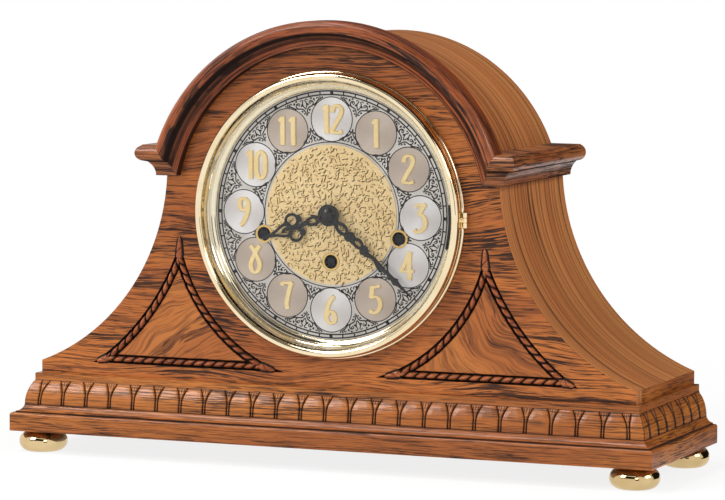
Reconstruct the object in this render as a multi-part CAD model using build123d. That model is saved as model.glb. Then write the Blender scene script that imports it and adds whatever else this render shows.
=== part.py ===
from build123d import *
import math
import os

os.makedirs("parts", exist_ok=True)

# Frame: millimetres, +X to the clock's left as it faces the viewer's right, +Y to the back, +Z up.
# The origin is under the middle of the whole object, on the surface that the feet stand on.

# Case
PLINTH_W = 444.0        # width over the base moulding
CASE_D = 119.0          # front face of the front panel to the back of the case
BASE_OUT = 16.0         # base moulding beyond the front and side faces
BOARD_H = 17.3          # moulded base board
FRIEZE_H = 15.7         # carved tongue moulding
FILLET_H = 4.6          # plain band over the carving
RAIL_T = 14.0           # frieze rails, face to inside
DIAL_RISE = 148.8       # bottom of the base board to the centre of the dial
DRUM_R = 114.5          # round top of the case
FLOOR_T = 8.4           # floor board, seen as the square foot of the shoulders
SPRING_RISE = 178.0     # bottom of the base board to where the shoulders end
PANEL_T = 12.0          # front panel
SHELL_T = 5.0           # bent sides and arched top
BACK_T = 8.0            # back frame and door
GLUE = 0.3              # glue line at curved seams

# Feet
FOOT_R = 16.0
FOOT_H = 14.0
FOOT_IN = 16.5          # foot centre in from the edges of the base board

# Hood and capitals
CAP_Z = 171.0           # underside of the capitals over the bottom of the base board
CAP_H = 20.0
CAP_OUT = 16.0          # nose of the hood and capitals beyond the faces
HOOD_R0 = 107.5
HOOD_R1 = 124.0

# Rope triangles
ROPE_REACH = 31.4       # inner bottom corners from the middle
ROPE_CLEAR = 16.3       # least room between the bezel and the edge facing the dial
ROPE_SWEEP_IN = 17.0    # edge facing the shoulder, in from it
ROPE_RISE = 46.2        # bottom edge over the bottom of the base board
ROPE_W = 6.0            # whole groove
ROPE_LIP = 1.0          # dark line each side of the bead
ROPE_DEEP = 2.5
ROPE_PROUD = 1.6
INLAY_T = 0.8

# Bezel and glass
BEZEL_R = 91.0
BEZEL_D = 10.5          # front of the bezel before the panel
BEZEL_GAP = 0.4
FLANGE_R = 92.4         # foot of the bezel
COVE_R = 89.9           # hollow between the foot and the rim
LIP_R = 86.2
GLASS_R = 87.4
GLASS_T = 2.0
GLASS_SEAT = 8.2        # front of the glass rim before the panel
GLASS_RISE = 7.2        # crown of the glass before its rim
RING_T = 1.0            # ring that holds the glass
HOLE_R = 84.0
SIGHT_FWD = 4.6         # front edge of the sight ring before the panel
HINGE_OUT = 2.0         # hinge line outside the bezel
HINGE_FWD = 2.3         # hinge line before the panel
KNUCKLE_R = 1.5
KNUCKLE_L = 3.2
PIN_R = 0.8
RUN = 0.05              # running clearance, each side

# Dial and hands
DIAL_Y = 2.2            # face of the dial behind the panel face
DIAL_T = 1.0
DIAL_R = 83.6
SIGHT_R = 80.0          # visible edge of the dial
CENTRE_R = 44.8
WIND_X = 46.7           # side winding holes from the dial centre
WIND_Z = -13.8
WIND_LOW = -30.0        # lower winding hole from the dial centre
WIND_R = 4.5
GROMMET_R = 5.85
HOUR_L = 50.0
MINUTE_L = 76.6
HOUR_ANGLE = 250.6      # hands at rest, clockwise from twelve
MINUTE_ANGLE = 131.2
HAND_Y = -0.4           # back of the hour hand behind the panel face
HAND_T = 0.8
HAND_GAP = 1.8          # between the hands
NUT_T = 1.8
NUT_R = 5.0
HUB_R = 7.0             # hub of the minute hand

# Movement
PLATE_HW = 76.0
PLATE_UP = 52.0
PLATE_DOWN = 64.0
PLATE_T = 1.8
PLATE_Y = 14.0          # front of the front plate behind the panel face
PLATE_SPAN = 42.2       # between the plates
PILLAR_R = 4.0
PILLAR_IN = 6.0         # pillars in from the edges of the plates
STRAP_W = 10.0
ARBOR_R = 1.5
PIVOT_R = 1.0
WIND_ARBOR_R = 3.0
WIND_SQ = 4.4
DRUM_BARREL_R = 20.0
RATCHET_R = 8.0
RATCHET_N = 14

# Wheels: teeth and module of each mesh
GREAT_N, INTER_P, GREAT_M = 60, 12, 0.88
INTER_N, CENTRE_P, INTER_M = 48, 10, 0.72
CENTRE_N, THIRD_P, CENTRE_M = 48, 8, 0.66
THIRD_N, ESCAPE_P, THIRD_M = 48, 8, 0.5
CANNON_N, MINUTE_N, CANNON_M = 12, 36, 0.6
MINUTE_P, HOUR_N = 10, 40
SIDE_N, SIDE_P, SIDE_M = 48, 8, 1.0

# Chime
HAMMERS = 4
HAMMER_PITCH = 9.0
HAMMER_Y = 66.0         # first hammer behind the panel face
TONE_ROD_R = 1.3
TONE_ROD_RISE = 16.0    # tone rods over the floor board
TONE_ROD_L = 205.0      # longest tone rod, beyond the block
TONE_STEP = 9.0         # each next rod is shorter by this
BLOCK_X = -118.0
BLOCK_W = 26.0
BLOCK_EDGE = 6.0        # block beyond the outer rods
ROD_SEAT = 20.0         # rods let into the block

# Back door
DOOR_HW = 86.0
DOOR_GAP = 0.8
DOOR_SILL = 8.0         # opening above the floor board
KNOB_OUT = 7.0
KNOB_R = 5.0

# Derived places
TOTAL_D = BASE_OUT + CASE_D + KNOB_OUT
FRONT = BASE_OUT - TOTAL_D / 2
BACK = FRONT + CASE_D
BODY_HW = PLINTH_W / 2 - BASE_OUT
BODY_Z = FOOT_H + BOARD_H + FRIEZE_H + FILLET_H
DIAL_Z = FOOT_H + DIAL_RISE
SPRING_Z = FOOT_H + SPRING_RISE
FLOOR_Z = BODY_Z + FLOOR_T
SHOULDER = BODY_HW - DRUM_R
SWEEP_R = (SHOULDER ** 2 + (SPRING_Z - FLOOR_Z) ** 2) / (2 * SHOULDER)
SWEEP_X = DRUM_R + SWEEP_R
ROPE_R_DIAL = max(math.hypot(DIAL_RISE - ROPE_RISE, ROPE_REACH), BEZEL_R + ROPE_CLEAR)
CAP_BOTTOM = FOOT_H + CAP_Z
CAP_TOP = CAP_BOTTOM + CAP_H
PLATE2_Y = PLATE_Y + PLATE_T + PLATE_SPAN
HINGE_X = BEZEL_R + HINGE_OUT
HINGE_Y = FRONT - HINGE_FWD
DOOR_AXIS_X = DOOR_HW
DOOR_AXIS_Y = BACK + 2.0
MINUTE_Y = HAND_Y - HAND_T - HAND_GAP
NUT_Y = MINUTE_Y - HAND_T - NUT_T


def save(node, shape):
    """Write one node."""
    export_step(shape, "parts/" + node + ".step")


def join(solids):
    """Fuse solids into one."""
    body = solids[0]
    for piece in solids[1:]:
        body = body + piece
    return body


def slab(face, y0, y1):
    """Stand a face drawn in X and Z up between two depths."""
    return Pos(0, y1, 0) * Rot(90, 0, 0) * extrude(face, y1 - y0)


def rod(radius, y0, y1, x=0.0, z=0.0):
    """Cylinder along Y; depths are behind the panel face and x, z are from the dial centre."""
    middle = Pos(x, FRONT + (y0 + y1) / 2, DIAL_Z + z)
    return middle * Rot(90, 0, 0) * Cylinder(radius, y1 - y0)


def bar(x0, x1, y0, y1, z0, z1):
    """Box between limits in the object's frame."""
    return Pos((x0 + x1) / 2, (y0 + y1) / 2, (z0 + z1) / 2) * Box(x1 - x0, y1 - y0, z1 - z0)


def polygon(points):
    """Flat face with straight sides."""
    return make_face(Polyline(*points, close=True))


def turned(edges):
    """Revolve a radius and depth profile about the dial axis."""
    ring = revolve(make_face(edges), Axis.Y)
    return Pos(0, FRONT, DIAL_Z) * ring


def path(points):
    """Straight edges through points."""
    return [Line(a, b) for a, b in zip(points[:-1], points[1:])]


# Case outline

def outline(grow=0.0, base=BODY_Z):
    """Face of the case's front view, grown or shrunk along its curves."""
    drum = DRUM_R + grow
    sweep = SWEEP_R - grow
    neck = SWEEP_X - sweep
    drum_x = math.sqrt(drum ** 2 - (SPRING_Z - DIAL_Z) ** 2)
    foot_x = SWEEP_X - math.sqrt(sweep ** 2 - (SPRING_Z - FLOOR_Z) ** 2)
    bend = math.radians(225)
    mid = (SWEEP_X + sweep * math.cos(bend), SPRING_Z + sweep * math.sin(bend))
    edges = [Line((-foot_x, base), (foot_x, base))]
    if base < FLOOR_Z:
        edges.append(Line((foot_x, base), (foot_x, FLOOR_Z)))
    edges.append(ThreePointArc((foot_x, FLOOR_Z), mid, (neck, SPRING_Z)))
    edges.append(Line((neck, SPRING_Z), (drum_x, SPRING_Z)))
    edges.append(ThreePointArc((drum_x, SPRING_Z), (0, DIAL_Z + drum), (-drum_x, SPRING_Z)))
    edges.append(Line((-drum_x, SPRING_Z), (-neck, SPRING_Z)))
    edges.append(ThreePointArc((-neck, SPRING_Z), (-mid[0], mid[1]), (-foot_x, FLOOR_Z)))
    if base < FLOOR_Z:
        edges.append(Line((-foot_x, FLOOR_Z), (-foot_x, base)))
    return make_face(edges)


def triangle(inset, side):
    """Face of the rope triangle's field, in from its outer edges."""
    low = FOOT_H + ROPE_RISE + inset
    block = polygon([(4, low), (BODY_HW, low), (BODY_HW, SPRING_Z), (4, SPRING_Z)])
    dial_edge = Pos(0, DIAL_Z) * Circle(ROPE_R_DIAL + inset)
    shoulder = Pos(SWEEP_X, SPRING_Z) * Circle(SWEEP_R + ROPE_SWEEP_IN + inset)
    face = block - dial_edge - shoulder
    return face if side > 0 else mirror(face, Plane.YZ)


# Mouldings

def runs(profile, half, z):
    """Mitred front, left and right lengths of a profile drawn outward and upward."""
    far = 60.0
    front_plane = Plane(origin=(half + far, FRONT, z), x_dir=(0, -1, 0), z_dir=(-1, 0, 0))
    right_plane = Plane(origin=(half, BACK, z), x_dir=(1, 0, 0), z_dir=(0, -1, 0))
    left_plane = Plane(origin=(-half, FRONT - far, z), x_dir=(-1, 0, 0), z_dir=(0, 1, 0))
    front = extrude(front_plane * profile, 2 * (half + far))
    right = extrude(right_plane * profile, CASE_D + far)
    left = extrude(left_plane * profile, CASE_D + far)
    deep = 50.0
    corner_in = half - deep
    corner_out = half + far
    wedge = polygon([(-corner_in, FRONT + deep), (-corner_out, FRONT - far),
                     (corner_out, FRONT - far), (corner_in, FRONT + deep)])
    flank = polygon([(corner_in, FRONT + deep), (corner_out, FRONT - far),
                     (corner_out, BACK + 1), (corner_in, BACK + 1)])
    tall = 80.0
    front = front & (Pos(0, 0, z - 10) * extrude(wedge, tall))
    right = right & (Pos(0, 0, z - 10) * extrude(flank, tall))
    left = left & (Pos(0, 0, z - 10) * extrude(mirror(flank, Plane.YZ), tall))
    return front, left, right


def board_profile():
    """Base board edge: fascia, nose, step and hollow."""
    nose = BOARD_H * 0.61
    top_out = BASE_OUT * 0.54
    edges = path([(-RAIL_T, BOARD_H), (-RAIL_T, 0), (BASE_OUT, 0), (BASE_OUT, nose)])
    edges.append(ThreePointArc((BASE_OUT, nose), (BASE_OUT - 0.5, nose + 1.1), (BASE_OUT - 1.6, nose + 1.6)))
    edges += path([(BASE_OUT - 1.6, nose + 1.6), (BASE_OUT - 3.0, nose + 1.6), (BASE_OUT - 3.0, nose + 2.4)])
    edges.append(ThreePointArc((BASE_OUT - 3.0, nose + 2.4), (top_out + 1.3, nose + 3.9), (top_out, BOARD_H)))
    edges.append(Line((top_out, BOARD_H), (-RAIL_T, BOARD_H)))
    return make_face(edges)


def frieze_profile():
    """Carved frieze: a round face leaning in under a plain band."""
    low = BASE_OUT * 0.52
    high = BASE_OUT * 0.21
    top = FRIEZE_H + FILLET_H
    edges = path([(-RAIL_T, 0), (low, 0)])
    edges.append(ThreePointArc((low, 0), (low * 0.86, FRIEZE_H * 0.55), (high, FRIEZE_H)))
    edges += path([(high, FRIEZE_H), (high, top), (-RAIL_T, top), (-RAIL_T, 0)])
    return make_face(edges)


def cap_profile(inner, height):
    """Hood and capital section: small step, hollow, fillet and a round nose."""
    h = height / 20.0
    out = CAP_OUT / 16.0
    a, b, c, d = 5.5 * out, 9.6 * out, 12.0 * out, 12.4 * out
    edges = path([(-inner, 0), (a, 0)])
    edges.append(ThreePointArc((a, 0), (6.6 * out, 5 * h), (b, 9 * h)))
    edges.append(Line((b, 9 * h), (c, 9.6 * h)))
    edges.append(ThreePointArc((c, 9.6 * h), (CAP_OUT, 14.6 * h), (d, 19.6 * h)))
    edges += path([(d, 19.6 * h), (d, height), (-inner, height), (-inner, 0)])
    return make_face(edges)


# Base

front_run, left_run, right_run = runs(board_profile(), BODY_HW, FOOT_H)
core = bar(-BODY_HW, BODY_HW, FRONT, BACK, FOOT_H, FOOT_H + BOARD_H)
FRIEZE_Z = FOOT_H + BOARD_H
inside = BODY_HW - RAIL_T
back_rail = bar(-inside, inside, BACK - RAIL_T, BACK, FRIEZE_Z, BODY_Z)
save("base_board", core + front_run + left_run + right_run + back_rail)

front_run, left_run, right_run = runs(frieze_profile(), BODY_HW, FRIEZE_Z)
save("frieze_front", front_run)
save("frieze_left", left_run)
save("frieze_right", right_run)

foot_edges = path([(0, FOOT_H), (FOOT_R * 0.62, FOOT_H), (FOOT_R * 0.62, FOOT_H * 0.93)])
foot_edges.append(ThreePointArc((FOOT_R * 0.62, FOOT_H * 0.93), (FOOT_R, FOOT_H * 0.5), (FOOT_R * 0.68, 0)))
foot_edges += path([(FOOT_R * 0.68, 0), (0, 0), (0, FOOT_H)])
foot_face = Plane.XZ * make_face(foot_edges)
foot = revolve(foot_face, Axis.Z)
FOOT_X = PLINTH_W / 2 - FOOT_IN
FOOT_Y0 = FRONT - BASE_OUT + FOOT_IN
FOOT_Y1 = BACK - FOOT_IN
feet = [Pos(x, y, 0) * foot for x in (-FOOT_X, FOOT_X) for y in (FOOT_Y0, FOOT_Y1)]
save("bun_feet", Compound(children=feet))

# Case

save("floor_board", bar(-BODY_HW, BODY_HW, FRONT + PANEL_T, BACK, BODY_Z, FLOOR_Z))

panel = slab(outline(), FRONT, FRONT + PANEL_T)
panel = panel - rod(HOLE_R, -1, PANEL_T + 1)
for side in (-1, 1):
    groove = triangle(0, side) - triangle(ROPE_W, side)
    panel = panel - slab(groove, FRONT, FRONT + ROPE_DEEP)
    panel = panel - slab(triangle(ROPE_W + 0.2, side), FRONT, FRONT + INLAY_T)
LEAF_T = 1.2
LEAF_D = 9.0
panel = panel - bar(HINGE_X - LEAF_T / 2, HINGE_X + LEAF_T / 2, FRONT - 1, FRONT + LEAF_D,
                    DIAL_Z - KNUCKLE_L * 1.5, DIAL_Z + KNUCKLE_L * 1.5)
save("front_panel", panel)

for side, name in ((-1, "left"), (1, "right")):
    bead = triangle(ROPE_LIP, side) - triangle(ROPE_W - ROPE_LIP, side)
    save("rope_" + name, slab(bead, FRONT - ROPE_PROUD, FRONT + ROPE_DEEP))
    save("inlay_" + name, slab(triangle(ROPE_W + 0.3, side), FRONT, FRONT + INLAY_T))

shell = slab(outline(0, FLOOR_Z) - outline(-SHELL_T, FLOOR_Z - 0.001), FRONT + PANEL_T, BACK)
upper = bar(-300, 300, FRONT, BACK, SPRING_Z, SPRING_Z + 300)
save("arch_top", shell & upper)
save("side_left", shell & bar(-300, 0, FRONT, BACK, 0, SPRING_Z))
save("side_right", shell & bar(0, 300, FRONT, BACK, 0, SPRING_Z))

prof = cap_profile(0, HOOD_R1 - HOOD_R0)
hood_plane = Plane(origin=(HOOD_R0, 0, 0), x_dir=(0, -1, 0), z_dir=(0, 0, 1))
hood = revolve(hood_plane * prof, Axis.Y)
hood = Pos(0, FRONT, DIAL_Z) * hood
mitre_top = math.sqrt(HOOD_R1 ** 2 - (CAP_TOP - DIAL_Z) ** 2)
mitre_low = math.sqrt(HOOD_R0 ** 2 - (CAP_BOTTOM - DIAL_Z) ** 2)
wide = HOOD_R1 + 40
arch_zone = polygon([(-mitre_low, CAP_BOTTOM), (mitre_low, CAP_BOTTOM), (mitre_top, CAP_TOP),
                     (wide, CAP_TOP), (wide, DIAL_Z + wide), (-wide, DIAL_Z + wide),
                     (-wide, CAP_TOP), (-mitre_top, CAP_TOP)])
arch_block = slab(arch_zone, FRONT - 40, FRONT + 40)
save("hood_moulding", hood & arch_block)

front_run, left_run, right_run = runs(cap_profile(0, CAP_H), DRUM_R, CAP_BOTTOM)
deep_run = runs(cap_profile(14, CAP_H), DRUM_R, CAP_BOTTOM)
arch_front = slab(arch_zone, FRONT - 40, FRONT)
case_body = slab(outline(GLUE), FRONT, BACK)
for side, name, run in ((-1, "left", deep_run[1]), (1, "right", deep_run[2])):
    half_space = bar(-300 if side < 0 else 0, 0 if side < 0 else 300, -300, 300, 0, 400)
    front_part = (front_run & half_space) - arch_front
    side_part = run - case_body - arch_front
    save("capital_" + name, front_part + side_part)

# Back frame and door

frame_face = outline(-SHELL_T - GLUE, FLOOR_Z)
DOOR_Z = FLOOR_Z + DOOR_SILL


def door_face(gap):
    """Arched door shape, in from the opening."""
    half = DOOR_HW - gap
    low = DOOR_Z + gap
    edges = path([(-half, DIAL_Z), (-half, low), (half, low), (half, DIAL_Z)])
    edges.append(ThreePointArc((half, DIAL_Z), (0, DIAL_Z + half), (-half, DIAL_Z)))
    return make_face(edges)


save("back_frame", slab(frame_face - door_face(0), BACK - BACK_T, BACK))
door = slab(door_face(DOOR_GAP), BACK - BACK_T, BACK)
for row in range(5):
    z = DIAL_Z - 40 + 12 * row
    door = door - bar(-36, 36, BACK - BACK_T - 1, BACK + 1, z, z + 4)
save("door_panel", door)

knob = Pos(-DOOR_HW + 14, BACK, DIAL_Z - 34) * Rot(-90, 0, 0)
knob_edges = path([(0, 0), (2, 0), (2, KNOB_OUT * 0.4), (KNOB_R, KNOB_OUT * 0.55), (KNOB_R, KNOB_OUT * 0.8),
                   (KNOB_R * 0.7, KNOB_OUT), (0, KNOB_OUT), (0, 0)])
save("door_knob", knob * revolve(Plane.XZ * make_face(knob_edges), Axis.Z))

frame_leaves = []
door_leaves = []
for z in (DOOR_Z + 16, DIAL_Z - 14):
    ax, ay = DOOR_AXIS_X, DOOR_AXIS_Y
    barrel = Pos(ax, ay, z) * Cylinder(2.0, 8)
    leaf = bar(ax + 2.3, ax + 11, BACK, BACK + 1, z - 12, z + 12)
    tall = [Pos(ax, ay, z + s * 8.1) * Cylinder(2.0, 7.8) for s in (-1, 1)]
    webs = [bar(ax, ax + 2.6, BACK, BACK + 1, z + s * 8.1 - 3.9, z + s * 8.1 + 3.9) for s in (-1, 1)]
    bore = Pos(ax, ay, z) * Cylinder(PIN_R + RUN, 40)
    frame_leaves.append(join([leaf] + tall + webs + [Pos(ax, ay, z) * Cylinder(PIN_R, 24)]))
    door_side = bar(ax - 11, ax - 2.3, BACK, BACK + 1, z - 12, z + 12)
    web = bar(ax - 2.6, ax, BACK + 0.1, BACK + 1, z - 4, z + 4)
    door_leaves.append(join([door_side, barrel, web]) - bore)
save("door_hinge_frame_leaves", Compound(children=frame_leaves))
save("door_hinge_leaves", Compound(children=door_leaves))
catch = bar(-DOOR_HW - 14, -DOOR_HW + 8, BACK - BACK_T - 7, BACK - BACK_T - 0.4, DIAL_Z - 42, DIAL_Z - 26)
catch = catch + bar(-DOOR_HW - 14, -DOOR_HW - 0.8, BACK - BACK_T - 1, BACK - BACK_T, DIAL_Z - 42, DIAL_Z - 26)
save("door_catch", catch)

# Bezel

wall = GLASS_R + GLUE
foot_top, cove_top = -BEZEL_D * 0.24, -BEZEL_D * 0.58
edges = path([(FLANGE_R, -BEZEL_GAP), (FLANGE_R, -BEZEL_GAP - 0.6)])
edges.append(ThreePointArc((FLANGE_R, -BEZEL_GAP - 0.6), (FLANGE_R - 0.35, foot_top + 0.5), (FLANGE_R - 1.2, foot_top)))
edges.append(ThreePointArc((FLANGE_R - 1.2, foot_top), (COVE_R, (foot_top + cove_top) / 2), (BEZEL_R, cove_top)))
edges.append(ThreePointArc((BEZEL_R, cove_top), (BEZEL_R - 0.5, -BEZEL_D * 0.88), (BEZEL_R - 2.4, -BEZEL_D)))
edges.append(ThreePointArc((BEZEL_R - 2.4, -BEZEL_D), (LIP_R + 0.7, -BEZEL_D + 0.4),
                           (LIP_R, -GLASS_SEAT - 0.8)))
edges += path([(LIP_R, -GLASS_SEAT - 0.8), (LIP_R, -GLASS_SEAT), (wall, -GLASS_SEAT), (wall, -BEZEL_GAP),
               (FLANGE_R, -BEZEL_GAP)])
notch = KNUCKLE_L * 1.5 + 0.3
bezel = turned(edges) - bar(HINGE_X - KNUCKLE_R - 0.4, HINGE_X + 9, FRONT - 6, FRONT, DIAL_Z - notch, DIAL_Z + notch)
tab = bar(BEZEL_R - 2.5, HINGE_X, HINGE_Y - 1.0, HINGE_Y + 1.0, DIAL_Z - KNUCKLE_L / 2, DIAL_Z + KNUCKLE_L / 2)
knuckle = Pos(HINGE_X, HINGE_Y, DIAL_Z) * Cylinder(KNUCKLE_R, KNUCKLE_L)
pin_bore = Pos(HINGE_X, HINGE_Y, DIAL_Z) * Cylinder(PIN_R + RUN, KNUCKLE_L * 4)
save("bezel_ring", bezel + ((tab + knuckle) - pin_bore))

rim = LIP_R - 0.5
seat = -GLASS_SEAT
crown = seat - GLASS_RISE


def dome(rise, rim_r):
    """Height of a dome halfway out."""
    ball = (rim_r ** 2 + rise ** 2) / (2 * rise)
    return rise - (ball - math.sqrt(ball ** 2 - (rim_r / 2) ** 2))


half_up = dome(GLASS_RISE, rim)
edges = [ThreePointArc((0, crown), (rim / 2, seat - half_up), (rim, seat))]
edges += path([(rim, seat), (GLASS_R, seat), (GLASS_R, seat + GLASS_T), (rim, seat + GLASS_T)])
edges.append(ThreePointArc((rim, seat + GLASS_T), (rim / 2, seat + GLASS_T - half_up), (0, crown + GLASS_T)))
edges.append(Line((0, crown + GLASS_T), (0, crown)))
save("bezel_glass", turned(edges))
ring_y = seat + GLASS_T
save("bezel_glass_ring", rod(GLASS_R, ring_y, ring_y + RING_T) - rod(LIP_R - 0.4, ring_y - 1, ring_y + 2))

leaf = bar(HINGE_X - LEAF_T / 2, HINGE_X + LEAF_T / 2, HINGE_Y, FRONT + LEAF_D,
           DIAL_Z - KNUCKLE_L * 1.5, DIAL_Z + KNUCKLE_L * 1.5)
half_slot = KNUCKLE_L / 2 + 0.2
slot = bar(HINGE_X - 4, HINGE_X + 4, HINGE_Y - 5, FRONT, DIAL_Z - half_slot, DIAL_Z + half_slot)
ends = []
for s in (-1, 1):
    place = Pos(HINGE_X, HINGE_Y, DIAL_Z + s * (KNUCKLE_L + 0.1))
    ends.append(place * Cylinder(KNUCKLE_R, KNUCKLE_L - 0.2))
hinge_pin = Pos(HINGE_X, HINGE_Y, DIAL_Z) * Cylinder(PIN_R, KNUCKLE_L * 3)
save("bezel_hinge_leaf", (leaf - slot) + ends[0] + ends[1] + hinge_pin)

# Dial

WINDS = ((0.0, WIND_LOW, "time"), (-WIND_X, WIND_Z, "strike"), (WIND_X, WIND_Z, "chime"))
HOUR_PIPE_R = 3.2
CANNON_R = 1.9
DIAL_BACK = DIAL_Y + DIAL_T
plate = rod(DIAL_R, DIAL_Y, DIAL_BACK) - rod(HOUR_PIPE_R + 0.8, 0, 10)
for x, z, name in WINDS:
    plate = plate - rod(WIND_R + 0.5, 0, 10, x, z)
FOOT_X2 = PLATE_HW - 16
posts = []
for x in (-FOOT_X2, FOOT_X2):
    for z in (PLATE_UP - 12, 14 - PLATE_DOWN):
        posts.append(rod(2.0, DIAL_BACK, PLATE_Y, x, z))
save("dial_plate", join([plate] + posts))
disc = rod(CENTRE_R, DIAL_Y - 0.5, DIAL_Y) - rod(HOUR_PIPE_R + 0.8, 0, 10)
for x, z, name in WINDS:
    disc = disc - rod(GROMMET_R + 0.3, 0, 10, x, z)
save("dial_centre", disc)
outer = HOLE_R - GLUE
save("sight_ring", turned(path([(SIGHT_R, DIAL_Y), (LIP_R, -SIGHT_FWD), (LIP_R + 0.6, -SIGHT_FWD),
                                (outer, -GLUE), (outer, DIAL_Y), (SIGHT_R, DIAL_Y)])))
eyes = []
for x, z, name in WINDS:
    eye = rod(GROMMET_R, DIAL_Y - 0.7, DIAL_Y, x, z) + rod(WIND_R + 0.4, DIAL_Y, DIAL_BACK + 0.6, x, z)
    eyes.append(eye - rod(WIND_R, -5, 10, x, z))
save("winding_grommets", Compound(children=eyes))

# Movement frame

INTER_D = (GREAT_N + INTER_P) * GREAT_M / 2
INTER_C = (INTER_N + CENTRE_P) * INTER_M / 2
along = (INTER_D ** 2 - INTER_C ** 2 + WIND_LOW ** 2) / (2 * abs(WIND_LOW))
INTER_X = -math.sqrt(INTER_D ** 2 - along ** 2)
INTER_Z = WIND_LOW + along
THIRD_Z = (CENTRE_N + THIRD_P) * CENTRE_M / 2
ESCAPE_Z = THIRD_Z + (THIRD_N + ESCAPE_P) * THIRD_M / 2
LEVER_Z = ESCAPE_Z + 11.5
BALANCE_X = 16.0
MOTION_D = (CANNON_N + MINUTE_N) * CANNON_M / 2
HOUR_M = 2 * MOTION_D / (MINUTE_P + HOUR_N)
MOTION_X = MOTION_D * math.cos(math.radians(45))
SIDE_D = (SIDE_N + SIDE_P) * SIDE_M / 2
SIDE_Z = WIND_Z + SIDE_D
SIDE_ROOM = SIDE_D - DRUM_BARREL_R - 0.6

ARBORS = ((INTER_X, INTER_Z), (0.0, THIRD_Z), (0.0, ESCAPE_Z), (0.0, LEVER_Z), (BALANCE_X, LEVER_Z),
          (-WIND_X, SIDE_Z), (WIND_X, SIDE_Z))


def plate_with_holes(y0):
    """Movement plate with its pivot holes."""
    body = bar(-PLATE_HW, PLATE_HW, FRONT + y0, FRONT + y0 + PLATE_T, DIAL_Z - PLATE_DOWN, DIAL_Z + PLATE_UP)
    body = body - rod(ARBOR_R + RUN, y0 - 1, y0 + PLATE_T + 1)
    for x, z in ARBORS:
        body = body - rod(PIVOT_R + RUN, y0 - 1, y0 + PLATE_T + 1, x, z)
    for x, z, name in WINDS:
        body = body - rod(WIND_ARBOR_R + RUN, y0 - 1, y0 + PLATE_T + 1, x, z)
    return body


front_plate = plate_with_holes(PLATE_Y) + rod(ARBOR_R, 7.4, PLATE_Y, MOTION_X, MOTION_X)
clicks = []
for x, z, name in WINDS:
    y0, y1 = FRONT + PLATE_Y - 3.6, FRONT + PLATE_Y - 2.0
    reach = RATCHET_R + 0.4
    arm = bar(x + reach - 1.2, x + reach + 2.4, y0, y1, DIAL_Z + z + 4.6, DIAL_Z + z + 12)
    arm = arm - rod(RATCHET_R + 0.4, PLATE_Y - 5, PLATE_Y, x, z)
    clicks.append(arm + rod(1.8, PLATE_Y - 3.6, PLATE_Y, x + reach + 0.6, z + 10.4))
save("front_plate", join([front_plate] + clicks))
PIVOT_X = 10.0
PIVOT_UP = 9.2          # hammer spindle over the bottom edge of the back plate
PIVOT_Z = DIAL_Z - PLATE_DOWN + PIVOT_UP
SPINDLE_R = 1.5
LAST_Y = HAMMER_Y + HAMMER_PITCH * (HAMMERS - 1)
spindle = rod(SPINDLE_R, PLATE2_Y + PLATE_T, LAST_Y + 6, PIVOT_X, PIVOT_Z - DIAL_Z)
save("back_plate", plate_with_holes(PLATE2_Y) + spindle)
PILLAR_X = PLATE_HW - PILLAR_IN
PILLARS = [(x, z) for x in (-PILLAR_X, PILLAR_X) for z in (PLATE_UP - PILLAR_IN, PILLAR_IN - PLATE_DOWN)]
save("plate_pillars", Compound(children=[rod(PILLAR_R, PLATE_Y + PLATE_T, PLATE2_Y, x, z) for x, z in PILLARS]))
straps = []
for sx in (-1, 1):
    for z in (PLATE_UP - 18, PILLAR_IN - PLATE_DOWN):
        x0, x1 = sorted((sx * (PLATE_HW - 14), sx * (HOLE_R + STRAP_W)))
        straps.append(bar(x0, x1, FRONT + PANEL_T, FRONT + PLATE_Y, DIAL_Z + z, DIAL_Z + z + STRAP_W))
save("movement_straps", Compound(children=straps))

# Wheels


def toothed(teeth, module, y0, y1, x, z, turn=0.0, pinion=False):
    """Spur wheel along Y with straight flanks; turn in degrees places a tooth."""
    share = 0.16 if pinion else 0.20
    lean = 0.10 if pinion else 0.32
    tip = 0.60 if pinion else 0.85
    root = 1.25 if pinion else 1.15
    pitch_r = teeth * module / 2
    points = []
    for i in range(teeth):
        centre = math.radians(turn) + 2 * math.pi * i / teeth
        for s, r in ((-1, pitch_r - root * module), (-1, pitch_r + tip * module),
                     (1, pitch_r + tip * module), (1, pitch_r - root * module)):
            half = share * math.pi * module - lean * (r - pitch_r)
            angle = centre + s * half / r
            points.append((r * math.cos(angle), r * math.sin(angle)))
    return Pos(x, 0, DIAL_Z + z) * slab(polygon(points), FRONT + y0, FRONT + y1)


def bearing(x0, z0, x1, z1):
    """Direction from one centre to another, in degrees from +X toward +Z."""
    return math.degrees(math.atan2(z1 - z0, x1 - x0))


def facing(teeth, toward):
    """Turn that sets a gap toward a direction."""
    return toward + 180.0 / teeth


PIVOT0 = PLATE_Y
PIVOT1 = PLATE2_Y + PLATE_T


def arbor(x, z):
    """Arbor between the plates with a pivot in each."""
    shaft = rod(ARBOR_R, PLATE_Y + PLATE_T + 0.4, PLATE2_Y - 0.4, x, z)
    return shaft + rod(PIVOT_R, PIVOT0, PIVOT1, x, z)


# Levels behind the panel face
INTER_L = PLATE_Y + 2.6
GREAT_L = INTER_L + 2.6
DRUM_L = GREAT_L + 3.4
SIDE_L = PLATE2_Y - 7.5
CENTRE_L = PLATE2_Y - 3.4
THIRD_L = PLATE2_Y - 10.0
ESCAPE_L = PLATE2_Y - 20.0
BALANCE_L = PLATE2_Y - 14.0
DRUM_END = SIDE_L - 0.5

to_inter = bearing(0, WIND_LOW, INTER_X, INTER_Z)
great = toothed(GREAT_N, GREAT_M, GREAT_L, GREAT_L + 3.0, 0, WIND_LOW, to_inter)
great = great + rod(DRUM_BARREL_R, GREAT_L + 3.0, DRUM_END - 1, 0, WIND_LOW)
save("time_barrel", great - rod(WIND_ARBOR_R + RUN, 0, 90, 0, WIND_LOW))

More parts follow.
